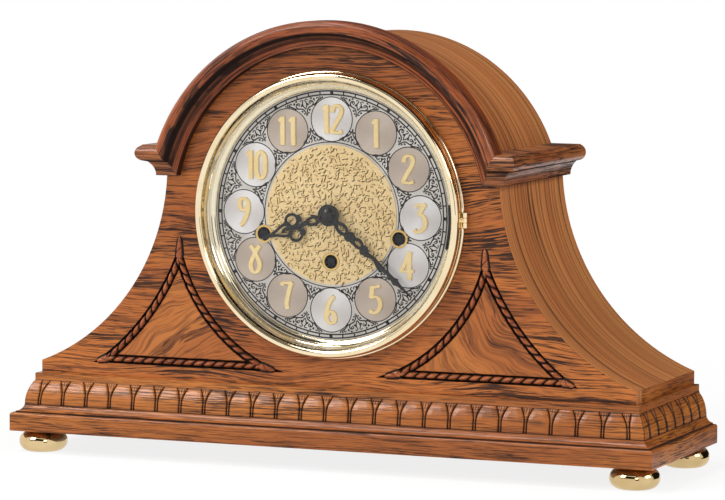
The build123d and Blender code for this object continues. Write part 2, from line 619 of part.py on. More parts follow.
pinion = toothed(INTER_P, GREAT_M, GREAT_L - 0.2, GREAT_L + 3.2, INTER_X, INTER_Z,
                 facing(INTER_P, to_inter + 180), True)
to_centre = bearing(INTER_X, INTER_Z, 0, 0)
wheel = toothed(INTER_N, INTER_M, INTER_L, INTER_L + 1.6, INTER_X, INTER_Z, to_centre)
save("intermediate_wheel", arbor(INTER_X, INTER_Z) + pinion + wheel)

pinion = toothed(CENTRE_P, INTER_M, INTER_L - 0.2, INTER_L + 1.8, 0, 0, facing(CENTRE_P, to_centre + 180), True)
wheel = toothed(CENTRE_N, CENTRE_M, CENTRE_L, CENTRE_L + 1.5, 0, 0, 90)
CANNON_L = PLATE_Y - 3.0
cannon = toothed(CANNON_N, CANNON_M, CANNON_L, CANNON_L + 1.6, 0, 0, facing(CANNON_N, 45), True)
pipe = rod(CANNON_R, NUT_Y - 0.6, CANNON_L + 1.6)
stem = rod(ARBOR_R, CANNON_L, PIVOT1)
save("centre_arbor", stem + pinion + wheel + cannon + pipe)

pinion = toothed(THIRD_P, CENTRE_M, CENTRE_L - 0.3, CENTRE_L + 1.8, 0, THIRD_Z, facing(THIRD_P, 270), True)
wheel = toothed(THIRD_N, THIRD_M, THIRD_L, THIRD_L + 1.4, 0, THIRD_Z, 90)
save("third_wheel", arbor(0, THIRD_Z) + pinion + wheel)

pinion = toothed(ESCAPE_P, THIRD_M, THIRD_L - 0.3, THIRD_L + 1.7, 0, ESCAPE_Z, facing(ESCAPE_P, 270), True)
ESCAPE_N = 15
ESCAPE_R = 8.5
points = []
for i in range(ESCAPE_N):
    a = 2 * math.pi * i / ESCAPE_N
    for r, turn in ((6.0, 0.0), (ESCAPE_R, 0.16), (ESCAPE_R, 0.22), (6.0, 0.14)):
        points.append((r * math.cos(a + turn), r * math.sin(a + turn)))
wheel = Pos(0, 0, DIAL_Z + ESCAPE_Z) * slab(polygon(points), FRONT + ESCAPE_L, FRONT + ESCAPE_L + 1.2)
save("escape_wheel", arbor(0, ESCAPE_Z) + pinion + wheel)

anchor = polygon([(-7.0, -3.2), (-5.6, -3.6), (-2.0, -1.4), (2.0, -1.4), (5.6, -3.6), (7.0, -3.2), (3.0, 0.6),
                  (12.6, 0.6), (12.6, 1.8), (1.0, 2.0), (-1.0, 2.0), (-3.0, 0.6)])
anchor = Pos(0, 0, DIAL_Z + LEVER_Z) * slab(anchor, FRONT + ESCAPE_L, FRONT + ESCAPE_L + 1.2)
save("pallet_lever", arbor(0, LEVER_Z) + anchor)

BALANCE_R = 10.0
rim = rod(BALANCE_R, BALANCE_L, BALANCE_L + 1.6, BALANCE_X, LEVER_Z)
rim = rim - rod(BALANCE_R - 1.8, BALANCE_L - 1, BALANCE_L + 3, BALANCE_X, LEVER_Z)
spoke = bar(BALANCE_X - BALANCE_R + 1, BALANCE_X + BALANCE_R - 1, FRONT + BALANCE_L, FRONT + BALANCE_L + 1.0,
            DIAL_Z + LEVER_Z - 1.0, DIAL_Z + LEVER_Z + 1.0)
save("balance_wheel", arbor(BALANCE_X, LEVER_Z) + rim + spoke)

motion = toothed(MINUTE_N, CANNON_M, CANNON_L, CANNON_L + 1.6, MOTION_X, MOTION_X, 225)
HOUR_L0 = CANNON_L - 3.0
motion = motion + toothed(MINUTE_P, HOUR_M, HOUR_L0 - 0.3, CANNON_L, MOTION_X, MOTION_X,
                          facing(MINUTE_P, 225), True)
save("motion_wheel", motion - rod(ARBOR_R + RUN, 0, 30, MOTION_X, MOTION_X))

hour = toothed(HOUR_N, HOUR_M, HOUR_L0, HOUR_L0 + 1.4, 0, 0, 45)
hour = hour + rod(HOUR_PIPE_R, HAND_Y - HAND_T - 0.6, HOUR_L0 + 1.4)
save("hour_wheel", hour - rod(CANNON_R + RUN, -20, 40))

for x, z, name in WINDS[1:]:
    side_wheel = toothed(SIDE_N, SIDE_M, SIDE_L, SIDE_L + 3.0, x, z, 90)
    drum = rod(DRUM_BARREL_R, DRUM_L, SIDE_L, x, z)
    save(name + "_barrel", side_wheel + drum - rod(WIND_ARBOR_R + RUN, 0, 90, x, z))

for x, z, name in WINDS:
    shaft = rod(WIND_ARBOR_R, PLATE_Y - 3.8, PIVOT1, x, z)
    square = bar(x - WIND_SQ / 2, x + WIND_SQ / 2, FRONT + DIAL_Y - 0.4, FRONT + PLATE_Y - 3.8,
                 DIAL_Z + z - WIND_SQ / 2, DIAL_Z + z + WIND_SQ / 2)
    points = []
    for i in range(RATCHET_N):
        a = 2 * math.pi * i / RATCHET_N
        step = 2 * math.pi / RATCHET_N
        points.append((RATCHET_R * math.cos(a), RATCHET_R * math.sin(a)))
        root, b = RATCHET_R * 0.84, a + step * 0.12
        points.append((root * math.cos(b), root * math.sin(b)))
    ratchet = Pos(x, 0, DIAL_Z + z) * slab(polygon(points), FRONT + PLATE_Y - 3.6, FRONT + PLATE_Y - 2.0)
    save(name + "_winding_arbor", shaft + square + ratchet)

strike = toothed(SIDE_P, SIDE_M, SIDE_L - 0.3, SIDE_L + 3.3, -WIND_X, SIDE_Z, facing(SIDE_P, 270), True)
pin_wheel = rod(SIDE_ROOM, SIDE_L - 9, SIDE_L - 7.4, -WIND_X, SIDE_Z)
pins = []
for i in range(8):
    a = 2 * math.pi * i / 8
    pins.append(rod(0.8, SIDE_L - 7.4, SIDE_L - 4.4, -WIND_X + (SIDE_ROOM - 1.6) * math.cos(a),
                    SIDE_Z + (SIDE_ROOM - 1.6) * math.sin(a)))
save("strike_wheel", join([arbor(-WIND_X, SIDE_Z), strike, pin_wheel] + pins))

cams = [arbor(WIND_X, SIDE_Z)]
cams.append(toothed(SIDE_P, SIDE_M, SIDE_L - 0.3, SIDE_L + 3.3, WIND_X, SIDE_Z, facing(SIDE_P, 270), True))
for i in range(HAMMERS):
    points = []
    for k in range(10):
        a = 2 * math.pi * (k + 0.37 * i) / 10
        points.append((SIDE_ROOM * math.cos(a), SIDE_ROOM * math.sin(a)))
        points.append((SIDE_ROOM * 0.8 * math.cos(a + 0.3), SIDE_ROOM * 0.8 * math.sin(a + 0.3)))
    y0 = FRONT + DRUM_L + 2 + 4.4 * i
    cams.append(Pos(WIND_X, 0, DIAL_Z + SIDE_Z) * slab(polygon(points), y0, y0 + 2.0))
save("chime_drum", join(cams))

# Hands

def hand(length, y0, y1, shape, angle, bore_r, hub_r):
    """Flat hand pointing along an angle clockwise from twelve."""
    right_side = [(w, s * length) for s, w in shape]
    left_side = [(-w, s * length) for s, w in reversed(shape)]
    blade = slab(polygon(right_side + left_side), y0, y1)
    hub = Pos(0, (y0 + y1) / 2, 0) * Rot(90, 0, 0) * Cylinder(hub_r, y1 - y0)
    hole = Pos(0, (y0 + y1) / 2, 0) * Rot(90, 0, 0) * Cylinder(bore_r, 20)
    body = blade + hub - hole
    return Pos(0, FRONT, DIAL_Z) * Rot(0, angle, 0) * body


hour_shape = [(0.0, 1.4), (0.17, 1.6), (0.22, 2.6), (0.28, 1.2), (0.34, 2.2), (0.40, 1.4), (0.44, 5.6), (0.49, 7.6),
              (0.54, 5.6), (0.60, 3.2), (0.68, 1.6), (0.78, 1.4), (0.9, 0.8), (1.0, 0.2)]
minute_shape = [(0.0, 1.6), (0.10, 1.6), (0.16, 3.0), (0.21, 1.6), (0.25, 3.4), (0.29, 1.5), (0.32, 2.8), (0.36, 1.6),
                (0.40, 3.6), (0.46, 1.6), (0.50, 2.6), (0.55, 1.2), (0.66, 1.0), (0.70, 2.0), (0.75, 1.0), (1.0, 0.2)]
save("hour_hand", hand(HOUR_L, HAND_Y - HAND_T, HAND_Y, hour_shape, HOUR_ANGLE, HOUR_PIPE_R, HUB_R - 0.6))
save("minute_hand", hand(MINUTE_L, MINUTE_Y - HAND_T, MINUTE_Y, minute_shape, MINUTE_ANGLE, CANNON_R, HUB_R))
save("hand_nut", rod(NUT_R, NUT_Y, NUT_Y + NUT_T) - rod(CANNON_R, -20, 0))

# Chime

ROD_Z = FLOOR_Z + TONE_ROD_RISE
ys = [HAMMER_Y + HAMMER_PITCH * i for i in range(HAMMERS)]
block = bar(BLOCK_X, BLOCK_X + BLOCK_W, FRONT + ys[0] - BLOCK_EDGE, FRONT + ys[-1] + BLOCK_EDGE,
            FLOOR_Z, ROD_Z + BLOCK_EDGE)
tones = []
for i, y in enumerate(ys):
    length = TONE_ROD_L - TONE_STEP * i + ROD_SEAT
    middle = Pos(BLOCK_X + BLOCK_W - ROD_SEAT + length / 2, FRONT + y, ROD_Z)
    tone = middle * Rot(0, 90, 0) * Cylinder(TONE_ROD_R, length)
    block = block - tone
    tones.append(tone)
save("chime_block", block)
save("tone_rods", Compound(children=tones))

for i, y in enumerate(ys):
    head_x = PIVOT_X - 24
    head = Pos(head_x, FRONT + y, ROD_Z + TONE_ROD_R + 2.2 + 5) * Cylinder(3.2, 10)
    top = ROD_Z + TONE_ROD_R + 2.2 + 8
    arm = polygon([(head_x - 1.2, top), (head_x + 1.2, top), (PIVOT_X + 1.6, PIVOT_Z - 1.6),
                   (PIVOT_X + 1.6, PIVOT_Z + 1.6), (PIVOT_X - 1.6, PIVOT_Z + 1.6)])
    arm = slab(arm, FRONT + y - 1.2, FRONT + y + 1.2)
    boss = Pos(PIVOT_X, FRONT + y, PIVOT_Z) * Rot(90, 0, 0) * Cylinder(3.4, 5)
    bore = Pos(PIVOT_X, FRONT + y, PIVOT_Z) * Rot(90, 0, 0) * Cylinder(SPINDLE_R + RUN, 20)
    save("hammer_" + str(i + 1), head + arm + boss - bore)
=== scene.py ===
"""Tambour mantel clock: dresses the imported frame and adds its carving, dial work and hands."""

from __future__ import annotations

import logging
import math
from dataclasses import dataclass
from enum import Enum
from typing import Any, Callable, Sequence, Union

import bmesh
import bpy
import numpy as np
from mathutils import Matrix, Vector


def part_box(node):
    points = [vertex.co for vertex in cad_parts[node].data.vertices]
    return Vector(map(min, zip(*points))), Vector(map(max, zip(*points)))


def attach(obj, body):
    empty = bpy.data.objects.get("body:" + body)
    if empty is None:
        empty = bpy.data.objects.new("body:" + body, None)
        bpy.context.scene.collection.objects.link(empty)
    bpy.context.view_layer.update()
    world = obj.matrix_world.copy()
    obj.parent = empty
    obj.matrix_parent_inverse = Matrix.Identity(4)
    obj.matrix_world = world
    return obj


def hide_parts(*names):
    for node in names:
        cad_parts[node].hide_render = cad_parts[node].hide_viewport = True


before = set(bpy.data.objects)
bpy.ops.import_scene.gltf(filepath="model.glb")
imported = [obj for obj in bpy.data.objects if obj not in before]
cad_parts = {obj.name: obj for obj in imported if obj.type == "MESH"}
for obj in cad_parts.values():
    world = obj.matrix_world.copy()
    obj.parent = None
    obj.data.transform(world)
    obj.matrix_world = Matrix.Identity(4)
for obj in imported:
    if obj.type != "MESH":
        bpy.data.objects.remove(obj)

LOG = logging.getLogger("mantel_clock")
MM = 0.001
Array = np.ndarray
Rgb = tuple[float, float, float]
Point = tuple[float, float]
Place = tuple[float, float, float]
Knots = Sequence[tuple[float, ...]]
Value = Union["Sock", float]


def srgb(red: float, green: float, blue: float) -> tuple[float, float, float, float]:
    """Turn a display colour into the linear colour that a socket takes.

    Args:
        red: Red, 0 to 255.
        green: Green, 0 to 255.
        blue: Blue, 0 to 255.

    Returns:
        Linear red, green and blue, with an alpha of 1.
    """
    c = np.array((red, green, blue)) / 255.0
    lin = np.where(c <= 0.04045, c / 12.92, ((c + 0.055) / 1.055) ** 2.4)
    return (float(lin[0]), float(lin[1]), float(lin[2]), 1.0)


# Shader graph


def sign_method(operation: str, flipped: bool = False) -> Callable[["Sock", Value], "Sock"]:
    """Make the method that stands for one arithmetic sign.

    Args:
        operation: The Math node's operation.
        flipped: Whether the other value comes first.

    Returns:
        The method.
    """

    def method(this: "Sock", other: Value) -> "Sock":
        """Add the Math node on both values."""
        return this.graph.math(operation, *((other, this) if flipped else (this, other)))

    return method


class Sock:
    """A shader socket that can stand in an arithmetic expression."""

    def __init__(self, graph: "Graph", socket: bpy.types.NodeSocket) -> None:
        """Hold the graph and the socket."""
        self.graph = graph
        self.socket = socket

    __add__ = sign_method("ADD")
    __radd__ = sign_method("ADD", flipped=True)
    __sub__ = sign_method("SUBTRACT")
    __rsub__ = sign_method("SUBTRACT", flipped=True)
    __mul__ = sign_method("MULTIPLY")
    __rmul__ = sign_method("MULTIPLY", flipped=True)

    def __abs__(self) -> "Sock":
        """Size without the sign."""
        return self.graph.math("ABSOLUTE", self)


class Graph:
    """The nodes of one material or world."""

    def __init__(self, tree: bpy.types.NodeTree) -> None:
        """Start from an empty tree."""
        self.tree = tree
        tree.nodes.clear()

    def node(self, kind: str, settings: dict[str, Any] | None = None,
             inputs: dict[int | str, Any] | None = None) -> bpy.types.Node:
        """Make one node.

        Args:
            kind: Blender's type name of the node.
            settings: Properties, set first.
            inputs: Values or links of its sockets, by name or number.

        Returns:
            The node.
        """
        made = self.tree.nodes.new(kind)
        for name, value in (settings or {}).items():
            setattr(made, name, value)
        for name, value in (inputs or {}).items():
            if isinstance(value, Sock):
                self.tree.links.new(value.socket, made.inputs[name])
            else:
                made.inputs[name].default_value = value
        return made

    def sock(self, node: bpy.types.Node, output: int | str = 0) -> Sock:
        """Wrap one output of a node."""
        return Sock(self, node.outputs[output])

    def math(self, operation: str, *values: Value) -> Sock:
        """Add a Math node on one or two values."""
        return self.sock(self.node("ShaderNodeMath", {"operation": operation}, dict(enumerate(values))))

    def length(self, first: Sock, second: Sock) -> Sock:
        """Square root of the sum of two squares."""
        return self.math("SQRT", first * first + second * second)

    def rise(self, value: Sock, low: float, high: float) -> Sock:
        """Smooth step of a value from 0 at low to 1 at high."""
        return self.sock(self.node("ShaderNodeMapRange", {"interpolation_type": "SMOOTHSTEP"},
                                   {0: value, 1: low, 2: high, 3: 0.0, 4: 1.0}))

    def line(self, value: Sock, centre: float, half: float) -> Sock:
        """Soft line: 1 where the value is at the centre, 0 from half away."""
        return 1.0 - self.rise(abs(value - centre), half * 0.35, half)

    def mix(self, factor: Value, first: Sock | Rgb, second: Sock | Rgb) -> Sock:
        """Mix two colours, each a link or a display colour, by a factor."""
        ends = [end if isinstance(end, Sock) else srgb(*end) for end in (first, second)]
        made = self.node("ShaderNodeMix", {"data_type": "RGBA"}, {0: factor, 6: ends[0], 7: ends[1]})
        return self.sock(made, 2)

    def place(self) -> tuple[Sock, Sock, Sock]:
        """Read where a point of the surface is.

        Returns:
            The object coordinates x, y and z in metres.
        """
        coord = self.sock(self.node("ShaderNodeTexCoord"), "Object")
        split = self.node("ShaderNodeSeparateXYZ", None, {0: coord})
        return self.sock(split, 0), self.sock(split, 1), self.sock(split, 2)

    def noise(self, x: Value, y: Value, z: Value, scale: float = 1.0, detail: float = 2.0,
              bend: float = 0.0) -> Sock:
        """Noise at a place.

        Args:
            x: First coordinate.
            y: Second coordinate.
            z: Third coordinate.
            scale: Factor on all three.
            detail: Octaves.
            bend: Distortion.

        Returns:
            A value of about 0 to 1.
        """
        place = self.sock(self.node("ShaderNodeCombineXYZ", None, {0: x, 1: y, 2: z}))
        return self.sock(self.node("ShaderNodeTexNoise", {"noise_dimensions": "3D"},
                                   {"Vector": place, "Scale": scale, "Detail": detail, "Distortion": bend}))

    def mottle(self, scale: float, detail: float = 2.0) -> Sock:
        """Noise that is even in all directions, with a scale per metre."""
        return self.noise(*self.place(), scale=scale, detail=detail)

    def tint(self) -> Sock:
        """The value that the mesh carries at its points."""
        return self.sock(self.node("ShaderNodeAttribute", {"attribute_name": "tint"}), "Fac")

    def bump(self, height: Sock, strength: float, distance: float) -> Sock:
        """Normal from a height map."""
        return self.sock(self.node("ShaderNodeBump", None,
                                   {"Strength": strength, "Distance": distance, "Height": height}))

    def seen(self) -> Sock:
        """Tell which rays show the background.

        Returns:
            1 for rays of the camera and those that gloss and glass send on, 0 for the rest.
        """
        path = self.node("ShaderNodeLightPath")
        camera, gloss, glass = (self.sock(path, f"Is {ray} Ray")
                                for ray in ("Camera", "Glossy", "Transmission"))
        return self.math("MAXIMUM", camera, self.math("MAXIMUM", gloss, glass))

    def surface(self, shader: Sock) -> None:
        """Join a shader to the output."""
        self.node("ShaderNodeOutputMaterial", None, {"Surface": shader})

    def principled(self, **sockets: Any) -> None:
        """Join a Principled shader, whose sockets are given by name with _ for spaces, to the output."""
        inputs = {name.replace("_", " "): value for name, value in sockets.items()}
        self.surface(self.sock(self.node("ShaderNodeBsdfPrincipled", None, inputs)))


# Finishes

WHITE = (1.0, 1.0, 1.0, 1.0)
# Dark glaze and painted shade for the hollows and joints of the mouldings and carving.
GLAZE_AND_SHADE: Rgb = (30, 14, 9)
SLOT_SHADE: Rgb = (12, 10, 9)
PORE_DEPTH = 0.00025
RUB_DEPTH = 0.0002
STIPPLE_DEPTH = 0.0003
MADE: dict[str, bpy.types.Material] = {}


@dataclass(frozen=True)
class Finish:
    """A material that is made when it is first asked for."""

    name: str

    def paint(self, g: Graph) -> None:
        """Fill the material's graph."""
        raise NotImplementedError

    def material(self) -> bpy.types.Material:
        """Make the material, or find it where it was made before.

        Returns:
            The material.
        """
        if self.name not in MADE:
            MADE[self.name] = bpy.data.materials.new(self.name)
            MADE[self.name].use_nodes = True
            self.paint(Graph(MADE[self.name].node_tree))
        return MADE[self.name]


class Grain(Enum):
    """Which way the wood's grain runs."""

    LENGTHWISE = "along the width"
    ARCH = "round the arched hood"
    ROUND_CASE = "round the bent sides and top"
    UPRIGHT = "up and down"
    FIGURED = "swirling veneer"


class Rise(Enum):
    """How the height on a moulding is measured for its lines of dark glaze and painted shade."""

    NONE = "no lines"
    UP = "by height"
    OUT = "by radius from the dial centre"
    CARVED = "by the carving's own depth"


@dataclass(frozen=True)
class Oak(Finish):
    """Stained open-grained oak under satin lacquer."""

    grain: Grain
    pale: Rgb
    mid: Rgb
    dark: Rgb
    streak: float
    rise: Rise = Rise.NONE
    start: float = 0.0
    lines: tuple[tuple[float, float, float], ...] = ()
    edge: "Oak | None" = None
    seed: float = 0.0
    turn: float = 0.0
    rough: float = 0.34
    long: float = 1.0
    fine: float = 940.0
    bands: float = 1.0
    wave: float = 0.005
    heart: float | None = None

    def axes(self, g: Graph) -> tuple[Sock, Sock, Sock]:
        """Lay the grain.

        Args:
            g: The material's graph.

        Returns:
            Coordinates along the grain, across it and through the board.
        """
        x, y, z = g.place()
        if self.grain is Grain.LENGTHWISE:
            return x + y, z, y
        if self.grain is Grain.ARCH:
            dz = z - DIAL_Z * MM
            return g.math("ARCTAN2", dz, x) * (DRUM_R * MM), g.length(x, dz) + y, y
        if self.grain is Grain.UPRIGHT:
            return z, x, y
        if self.grain is Grain.ROUND_CASE:
            return (x + z) * 0.5, y, (x - z) * 0.02
        # The veneer's lines are turned, bowed by a square law and swayed by noise.
        c, s = math.cos(self.turn), math.sin(self.turn)
        along, across = x * c + z * s, z * c - x * s
        sway = g.noise(x * 30.0, z * 30.0, self.seed, detail=1.0) - 0.5
        run = along + 0.05
        return along + sway * 0.02, across + run * run * 4.0 + sway * 0.022, y

    def glaze(self, g: Graph) -> Sock | None:
        """Dark glaze and painted shade in the hollows.

        Args:
            g: The material's graph.

        Returns:
            The glaze and painted shade, 0 to 1, or None where there is none.
        """
        if self.rise is Rise.CARVED:
            return g.tint()
        if self.rise is Rise.NONE:
            return None
        x, _, z = g.place()
        height = z - self.start * MM
        if self.rise is Rise.OUT:
            height = g.length(x, z - DIAL_Z * MM) - self.start * MM
        total: Value = 0.0
        for centre, half, strength in self.lines:
            total = g.line(height, centre * MM, half * MM) * strength + total
        return g.math("MINIMUM", total, 1.0)

    def behind(self, g: Graph) -> tuple[Sock, Sock]:
        """Find the front panel's faces that lie behind its front.

        Args:
            g: The material's graph.

        Returns:
            1 in the rope's groove, which takes painted shade, and 1 on the outer edge.
        """
        x, y, z = g.place()
        deep = g.rise(y, (FRONT + 0.3) * MM, (FRONT + 0.9) * MM)
        side, up = abs(x) - SWEEP_X * MM, z - SPRING_Z * MM
        inside = g.rise(g.length(side, up), (SWEEP_R + 9.0) * MM, (SWEEP_R + 10.0) * MM)
        away = g.length(x, z - DIAL_Z * MM)
        arch = g.rise(away, (DRUM_R - 2.0) * MM, (DRUM_R - 1.0) * MM) * g.rise(up, -0.008, -0.006)
        field = inside * (1.0 - arch)
        return deep * field * g.rise(away, 0.100, 0.101), deep * (1.0 - field)

    def tones(self, g: Graph) -> tuple[Sock, Sock]:
        """Colour the wood by a broad tone, clusters of dashes and long lines.

        Args:
            g: The material's graph.

        Returns:
            The colour, and how open the grain is.
        """
        along, across, through = self.axes(g)
        s, k = self.seed, self.long
        sway = g.noise(along * 10.0 * k + s, across * 16.0, s, detail=1.0) - 0.5
        across = across + sway * self.wave
        broad = g.noise(along * 4.0 * k + s, across * 26.0, through * 12.0, bend=0.3)
        zone = g.noise(along * 7.0 * k + s + 7.0, across * 64.0, through * 20.0, bend=0.4)
        fine = g.noise(along * 28.0 * k, across * self.fine + s, through * 10.0, detail=1.0, bend=0.2)
        dash = g.noise(along * 80.0 * k, across * self.fine * 1.35, through * 10.0 + s, detail=1.0)
        # More dark grain in a band at this height, growing towards the right: partly the wood's figure,
        # partly painted shade beside the bezel.
        if self.heart is not None:
            near = 1.0 - g.rise(abs(across - self.heart * MM), 0.015, 0.06)
            zone = zone + near * (0.03 + 0.12 * g.rise(along, -0.1, 0.05))
        cluster = g.rise(zone, 0.48, 0.62) * self.bands
        lines = g.rise(fine, 0.52, 0.575) * (0.48 + 0.42 * cluster)
        pores = g.rise(dash, 0.52, 0.59) * (0.36 + 0.40 * cluster)
        open_grain = g.math("MINIMUM", (lines + pores) * self.streak, 1.0)
        colour = g.mix(g.rise(broad, 0.36, 0.66), self.pale, self.mid)
        colour = g.mix(cluster * (0.14 * self.streak), colour, self.dark)
        return g.mix(open_grain, colour, self.dark), open_grain

    def paint(self, g: Graph) -> None:
        """Build the finish: the wood's tones, dark glaze and painted shade in the hollows, open grain in
        gloss and height.

        Args:
            g: The material's graph.
        """
        colour, open_grain = self.tones(g)
        glaze = self.glaze(g)
        if self.edge is not None:
            # The rope's groove gets painted shade; the outer edge takes the side's grain.
            glaze, rim = self.behind(g)
            colour = g.mix(rim, colour, self.edge.tones(g)[0])
        gloss: Value = 1.0
        # Hollows take the dark colour and lose gloss: glaze with painted shade.
        if glaze is not None:
            colour = g.mix(glaze, colour, GLAZE_AND_SHADE)
            gloss = 1.0 - glaze
        dull = 0.14 * open_grain + 0.4 * (1.0 - gloss)
        g.principled(Base_Color=colour, Roughness=self.rough + dull, Specular_IOR_Level=0.22,
                     Normal=g.bump(1.0 - open_grain, 0.22, PORE_DEPTH),
                     Coat_Weight=gloss * 0.2 * (1.0 - 0.7 * open_grain), Coat_Roughness=0.14)


@dataclass(frozen=True)
class Metal(Finish):
    """Polished or satin metal with faint wear."""

    colour: Rgb
    shade: Rgb
    rough: float
    worn: float = 0.06
    stretch: tuple[float, float, float] = (160.0, 160.0, 160.0)
    lift: float = 0.0
    slotted: bool = False

    def paint(self, g: Graph) -> None:
        """Build the metal: a cloudy tone and fine rubbed marks in its gloss; a slot is painted dark as shade,
        and dull.

        Args:
            g: The material's graph.
        """
        rub = g.noise(*(v * k for v, k in zip(g.place(), self.stretch)), scale=6.0, detail=3.0)
        colour = g.mix(g.rise(g.mottle(45.0), 0.35, 0.72) * 0.6, self.colour, self.shade)
        rough = self.rough + self.worn * g.rise(rub, 0.35, 0.75)
        sockets: dict[str, Any] = {"Base_Color": colour, "Roughness": rough, "Metallic": 1.0}
        if self.slotted:
            # Painted shade: the slot is near black and not metal.
            deep = g.tint()
            sockets = {"Base_Color": g.mix(deep, colour, SLOT_SHADE), "Roughness": rough + 0.6 * deep,
                       "Metallic": 1.0 - deep}
        if self.lift:
            sockets["Normal"] = g.bump(rub, self.lift, RUB_DEPTH)
        g.principled(**sockets)


@dataclass(frozen=True)
class Enamel(Finish):
    """Gloss paint, ink or lacquer of one colour with a faint mottle."""

    colour: Rgb
    shade: Rgb
    rough: float
    coat: float
    shine: float

    def paint(self, g: Graph) -> None:
        """Build the paint: two near tones over fine noise.

        Args:
            g: The material's graph.
        """
        mottle = g.mottle(300.0, 3.0)
        colour = g.mix(g.rise(mottle, 0.35, 0.7), self.colour, self.shade)
        g.principled(Base_Color=colour, Roughness=self.rough + 0.12 * mottle, Coat_Weight=self.coat,
                     Coat_Roughness=0.08, Specular_IOR_Level=self.shine)


@dataclass(frozen=True)
class BrushedDial(Finish):
    """Silvered sheet with upright brush marks, or with a painted sheen that the mesh carries."""

    bright: Rgb
    dull: Rgb
    turned: bool = False
    rough: float = 0.4
    metallic: float = 0.35

    def paint(self, g: Graph) -> None:
        """Build the sheet: a slow change of tone with fine brush marks over it.

        Args:
            g: The material's graph.
        """
        x, _, z = g.place()
        mark = g.noise(x * 2600.0, z * 70.0, 0.0)
        if self.turned:
            # The mesh carries a painted sheen.
            tone = 0.8 * g.tint() + 0.2 * mark
        else:
            tone = 0.75 * g.rise(g.noise(x * 40.0, z * 22.0, 2.0, detail=1.0), 0.34, 0.66) + 0.25 * mark
        g.principled(Base_Color=g.mix(tone, self.bright, self.dull),
                     Roughness=self.rough + 0.1 * mark, Metallic=self.metallic)


@dataclass(frozen=True)
class Gilt(Finish):
    """Gilt sheet with a fine stippled ground."""

    bright: Rgb
    deep: Rgb
    stipple: float
    rough: float
    metallic: float

    def paint(self, g: Graph) -> None:
        """Build the gilding: stipple in tone and height.

        Args:
            g: The material's graph.
        """
        grain = g.mottle(900.0)
        tone = g.rise(grain, 0.42, 0.7) * self.stipple + 0.35 * g.rise(g.mottle(60.0), 0.4, 0.7)
        g.principled(Base_Color=g.mix(tone, self.bright, self.deep),
                     Roughness=self.rough + 0.1 * grain, Metallic=self.metallic,
                     Normal=g.bump(grain, 0.25 * self.stipple, STIPPLE_DEPTH))


@dataclass(frozen=True)
class ClearGlass(Finish):
    """Thin convex glass: clear, with mirror gloss that grows at the edge."""

    index: float = 1.35
    mirror: float = 0.55

    def paint(self, g: Graph) -> None:
        """Build the glass: clear and mirror shaders mixed by the Fresnel term.

        Args:
            g: The material's graph.
        """
        edge = g.sock(g.node("ShaderNodeFresnel", None, {"IOR": self.index}))
        clear = g.sock(g.node("ShaderNodeBsdfTransparent", None, {"Color": (0.985, 0.99, 0.99, 1.0)}))
        gloss = g.sock(g.node("ShaderNodeBsdfGlossy", None, {"Color": WHITE, "Roughness": 0.02}))
        g.surface(g.sock(g.node("ShaderNodeMixShader", None, {0: edge * self.mirror, 1: clear, 2: gloss})))


@dataclass(frozen=True)
class StudioFloor(Finish):
    """Pale floor that is white to the camera and keeps a soft shadow round the clock."""

    shade: tuple[float, float, float, float] = (0.9, 0.9, 0.9, 1.0)
    near: float = 0.84
    fade: Point = (0.32, 0.75)

    def paint(self, g: Graph) -> None:
        """Build the floor: white light over a matt tone, a little less of it near the clock.

        Args:
            g: The material's graph.
        """
        matt = g.sock(g.node("ShaderNodeBsdfDiffuse", None, {"Color": self.shade}))
        white = g.sock(g.node("ShaderNodeEmission", None, {"Color": WHITE, "Strength": 1.0}))
        x, y, _ = g.place()
        share = g.seen() * (self.near + (1.0 - self.near) * g.rise(g.length(x, y), *self.fade))
        g.surface(g.sock(g.node("ShaderNodeMixShader", None, {0: share, 1: matt, 2: white})))


@dataclass(frozen=True)
class DarkCard(Finish):
    """Matt black card."""

    shade: tuple[float, float, float, float] = (0.012, 0.011, 0.01, 1.0)

    def paint(self, g: Graph) -> None:
        """Build the card: one matt tone."""
        g.surface(g.sock(g.node("ShaderNodeBsdfDiffuse", None, {"Color": self.shade})))


# Sizes of the frame, in millimetres


def corner(node: str, end: int, axis: int) -> float:
    """One number of a node's box in millimetres: end 0 is low and 1 is high."""
    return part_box(node)[end][axis] / MM


FRONT = corner("front_panel", 0, 1)
BACK = corner("back_frame", 1, 1)
BODY_HW = corner("floor_board", 1, 0)
DIAL_Z = 0.5 * (corner("dial_plate", 0, 2) + corner("dial_plate", 1, 2))
DRUM_R = corner("arch_top", 1, 2) - DIAL_Z
FLOOR_Z = corner("floor_board", 1, 2)
FRIEZE_Z = corner("frieze_front", 0, 2)
FRIEZE_TOP = corner("frieze_front", 1, 2)
BASE_Z = corner("base_board", 0, 2)
CAP_Z = corner("capital_right", 0, 2)
SPRING_Z = corner("side_right", 1, 2)
SWEEP_R = ((BODY_HW - DRUM_R) ** 2 + (SPRING_Z - FLOOR_Z) ** 2) / (2.0 * (BODY_HW - DRUM_R))
SWEEP_X = DRUM_R + SWEEP_R
HOOD_IN = DRUM_R - 7.0


# Mesh making


@dataclass
class Shape:
    """Points in millimetres, blocks of faces of one number of corners, and values at the points."""

    points: Array
    faces: list[Array]
    tint: Array | None = None

    def __add__(self, other: "Shape") -> "Shape":
        """Both shapes as one."""
        faces = self.faces + [block + len(self.points) for block in other.faces]
        tint = None
        if self.tint is not None and other.tint is not None:
            tint = np.concatenate((self.tint, other.tint))
        return Shape(np.concatenate((self.points, other.points)), faces, tint)


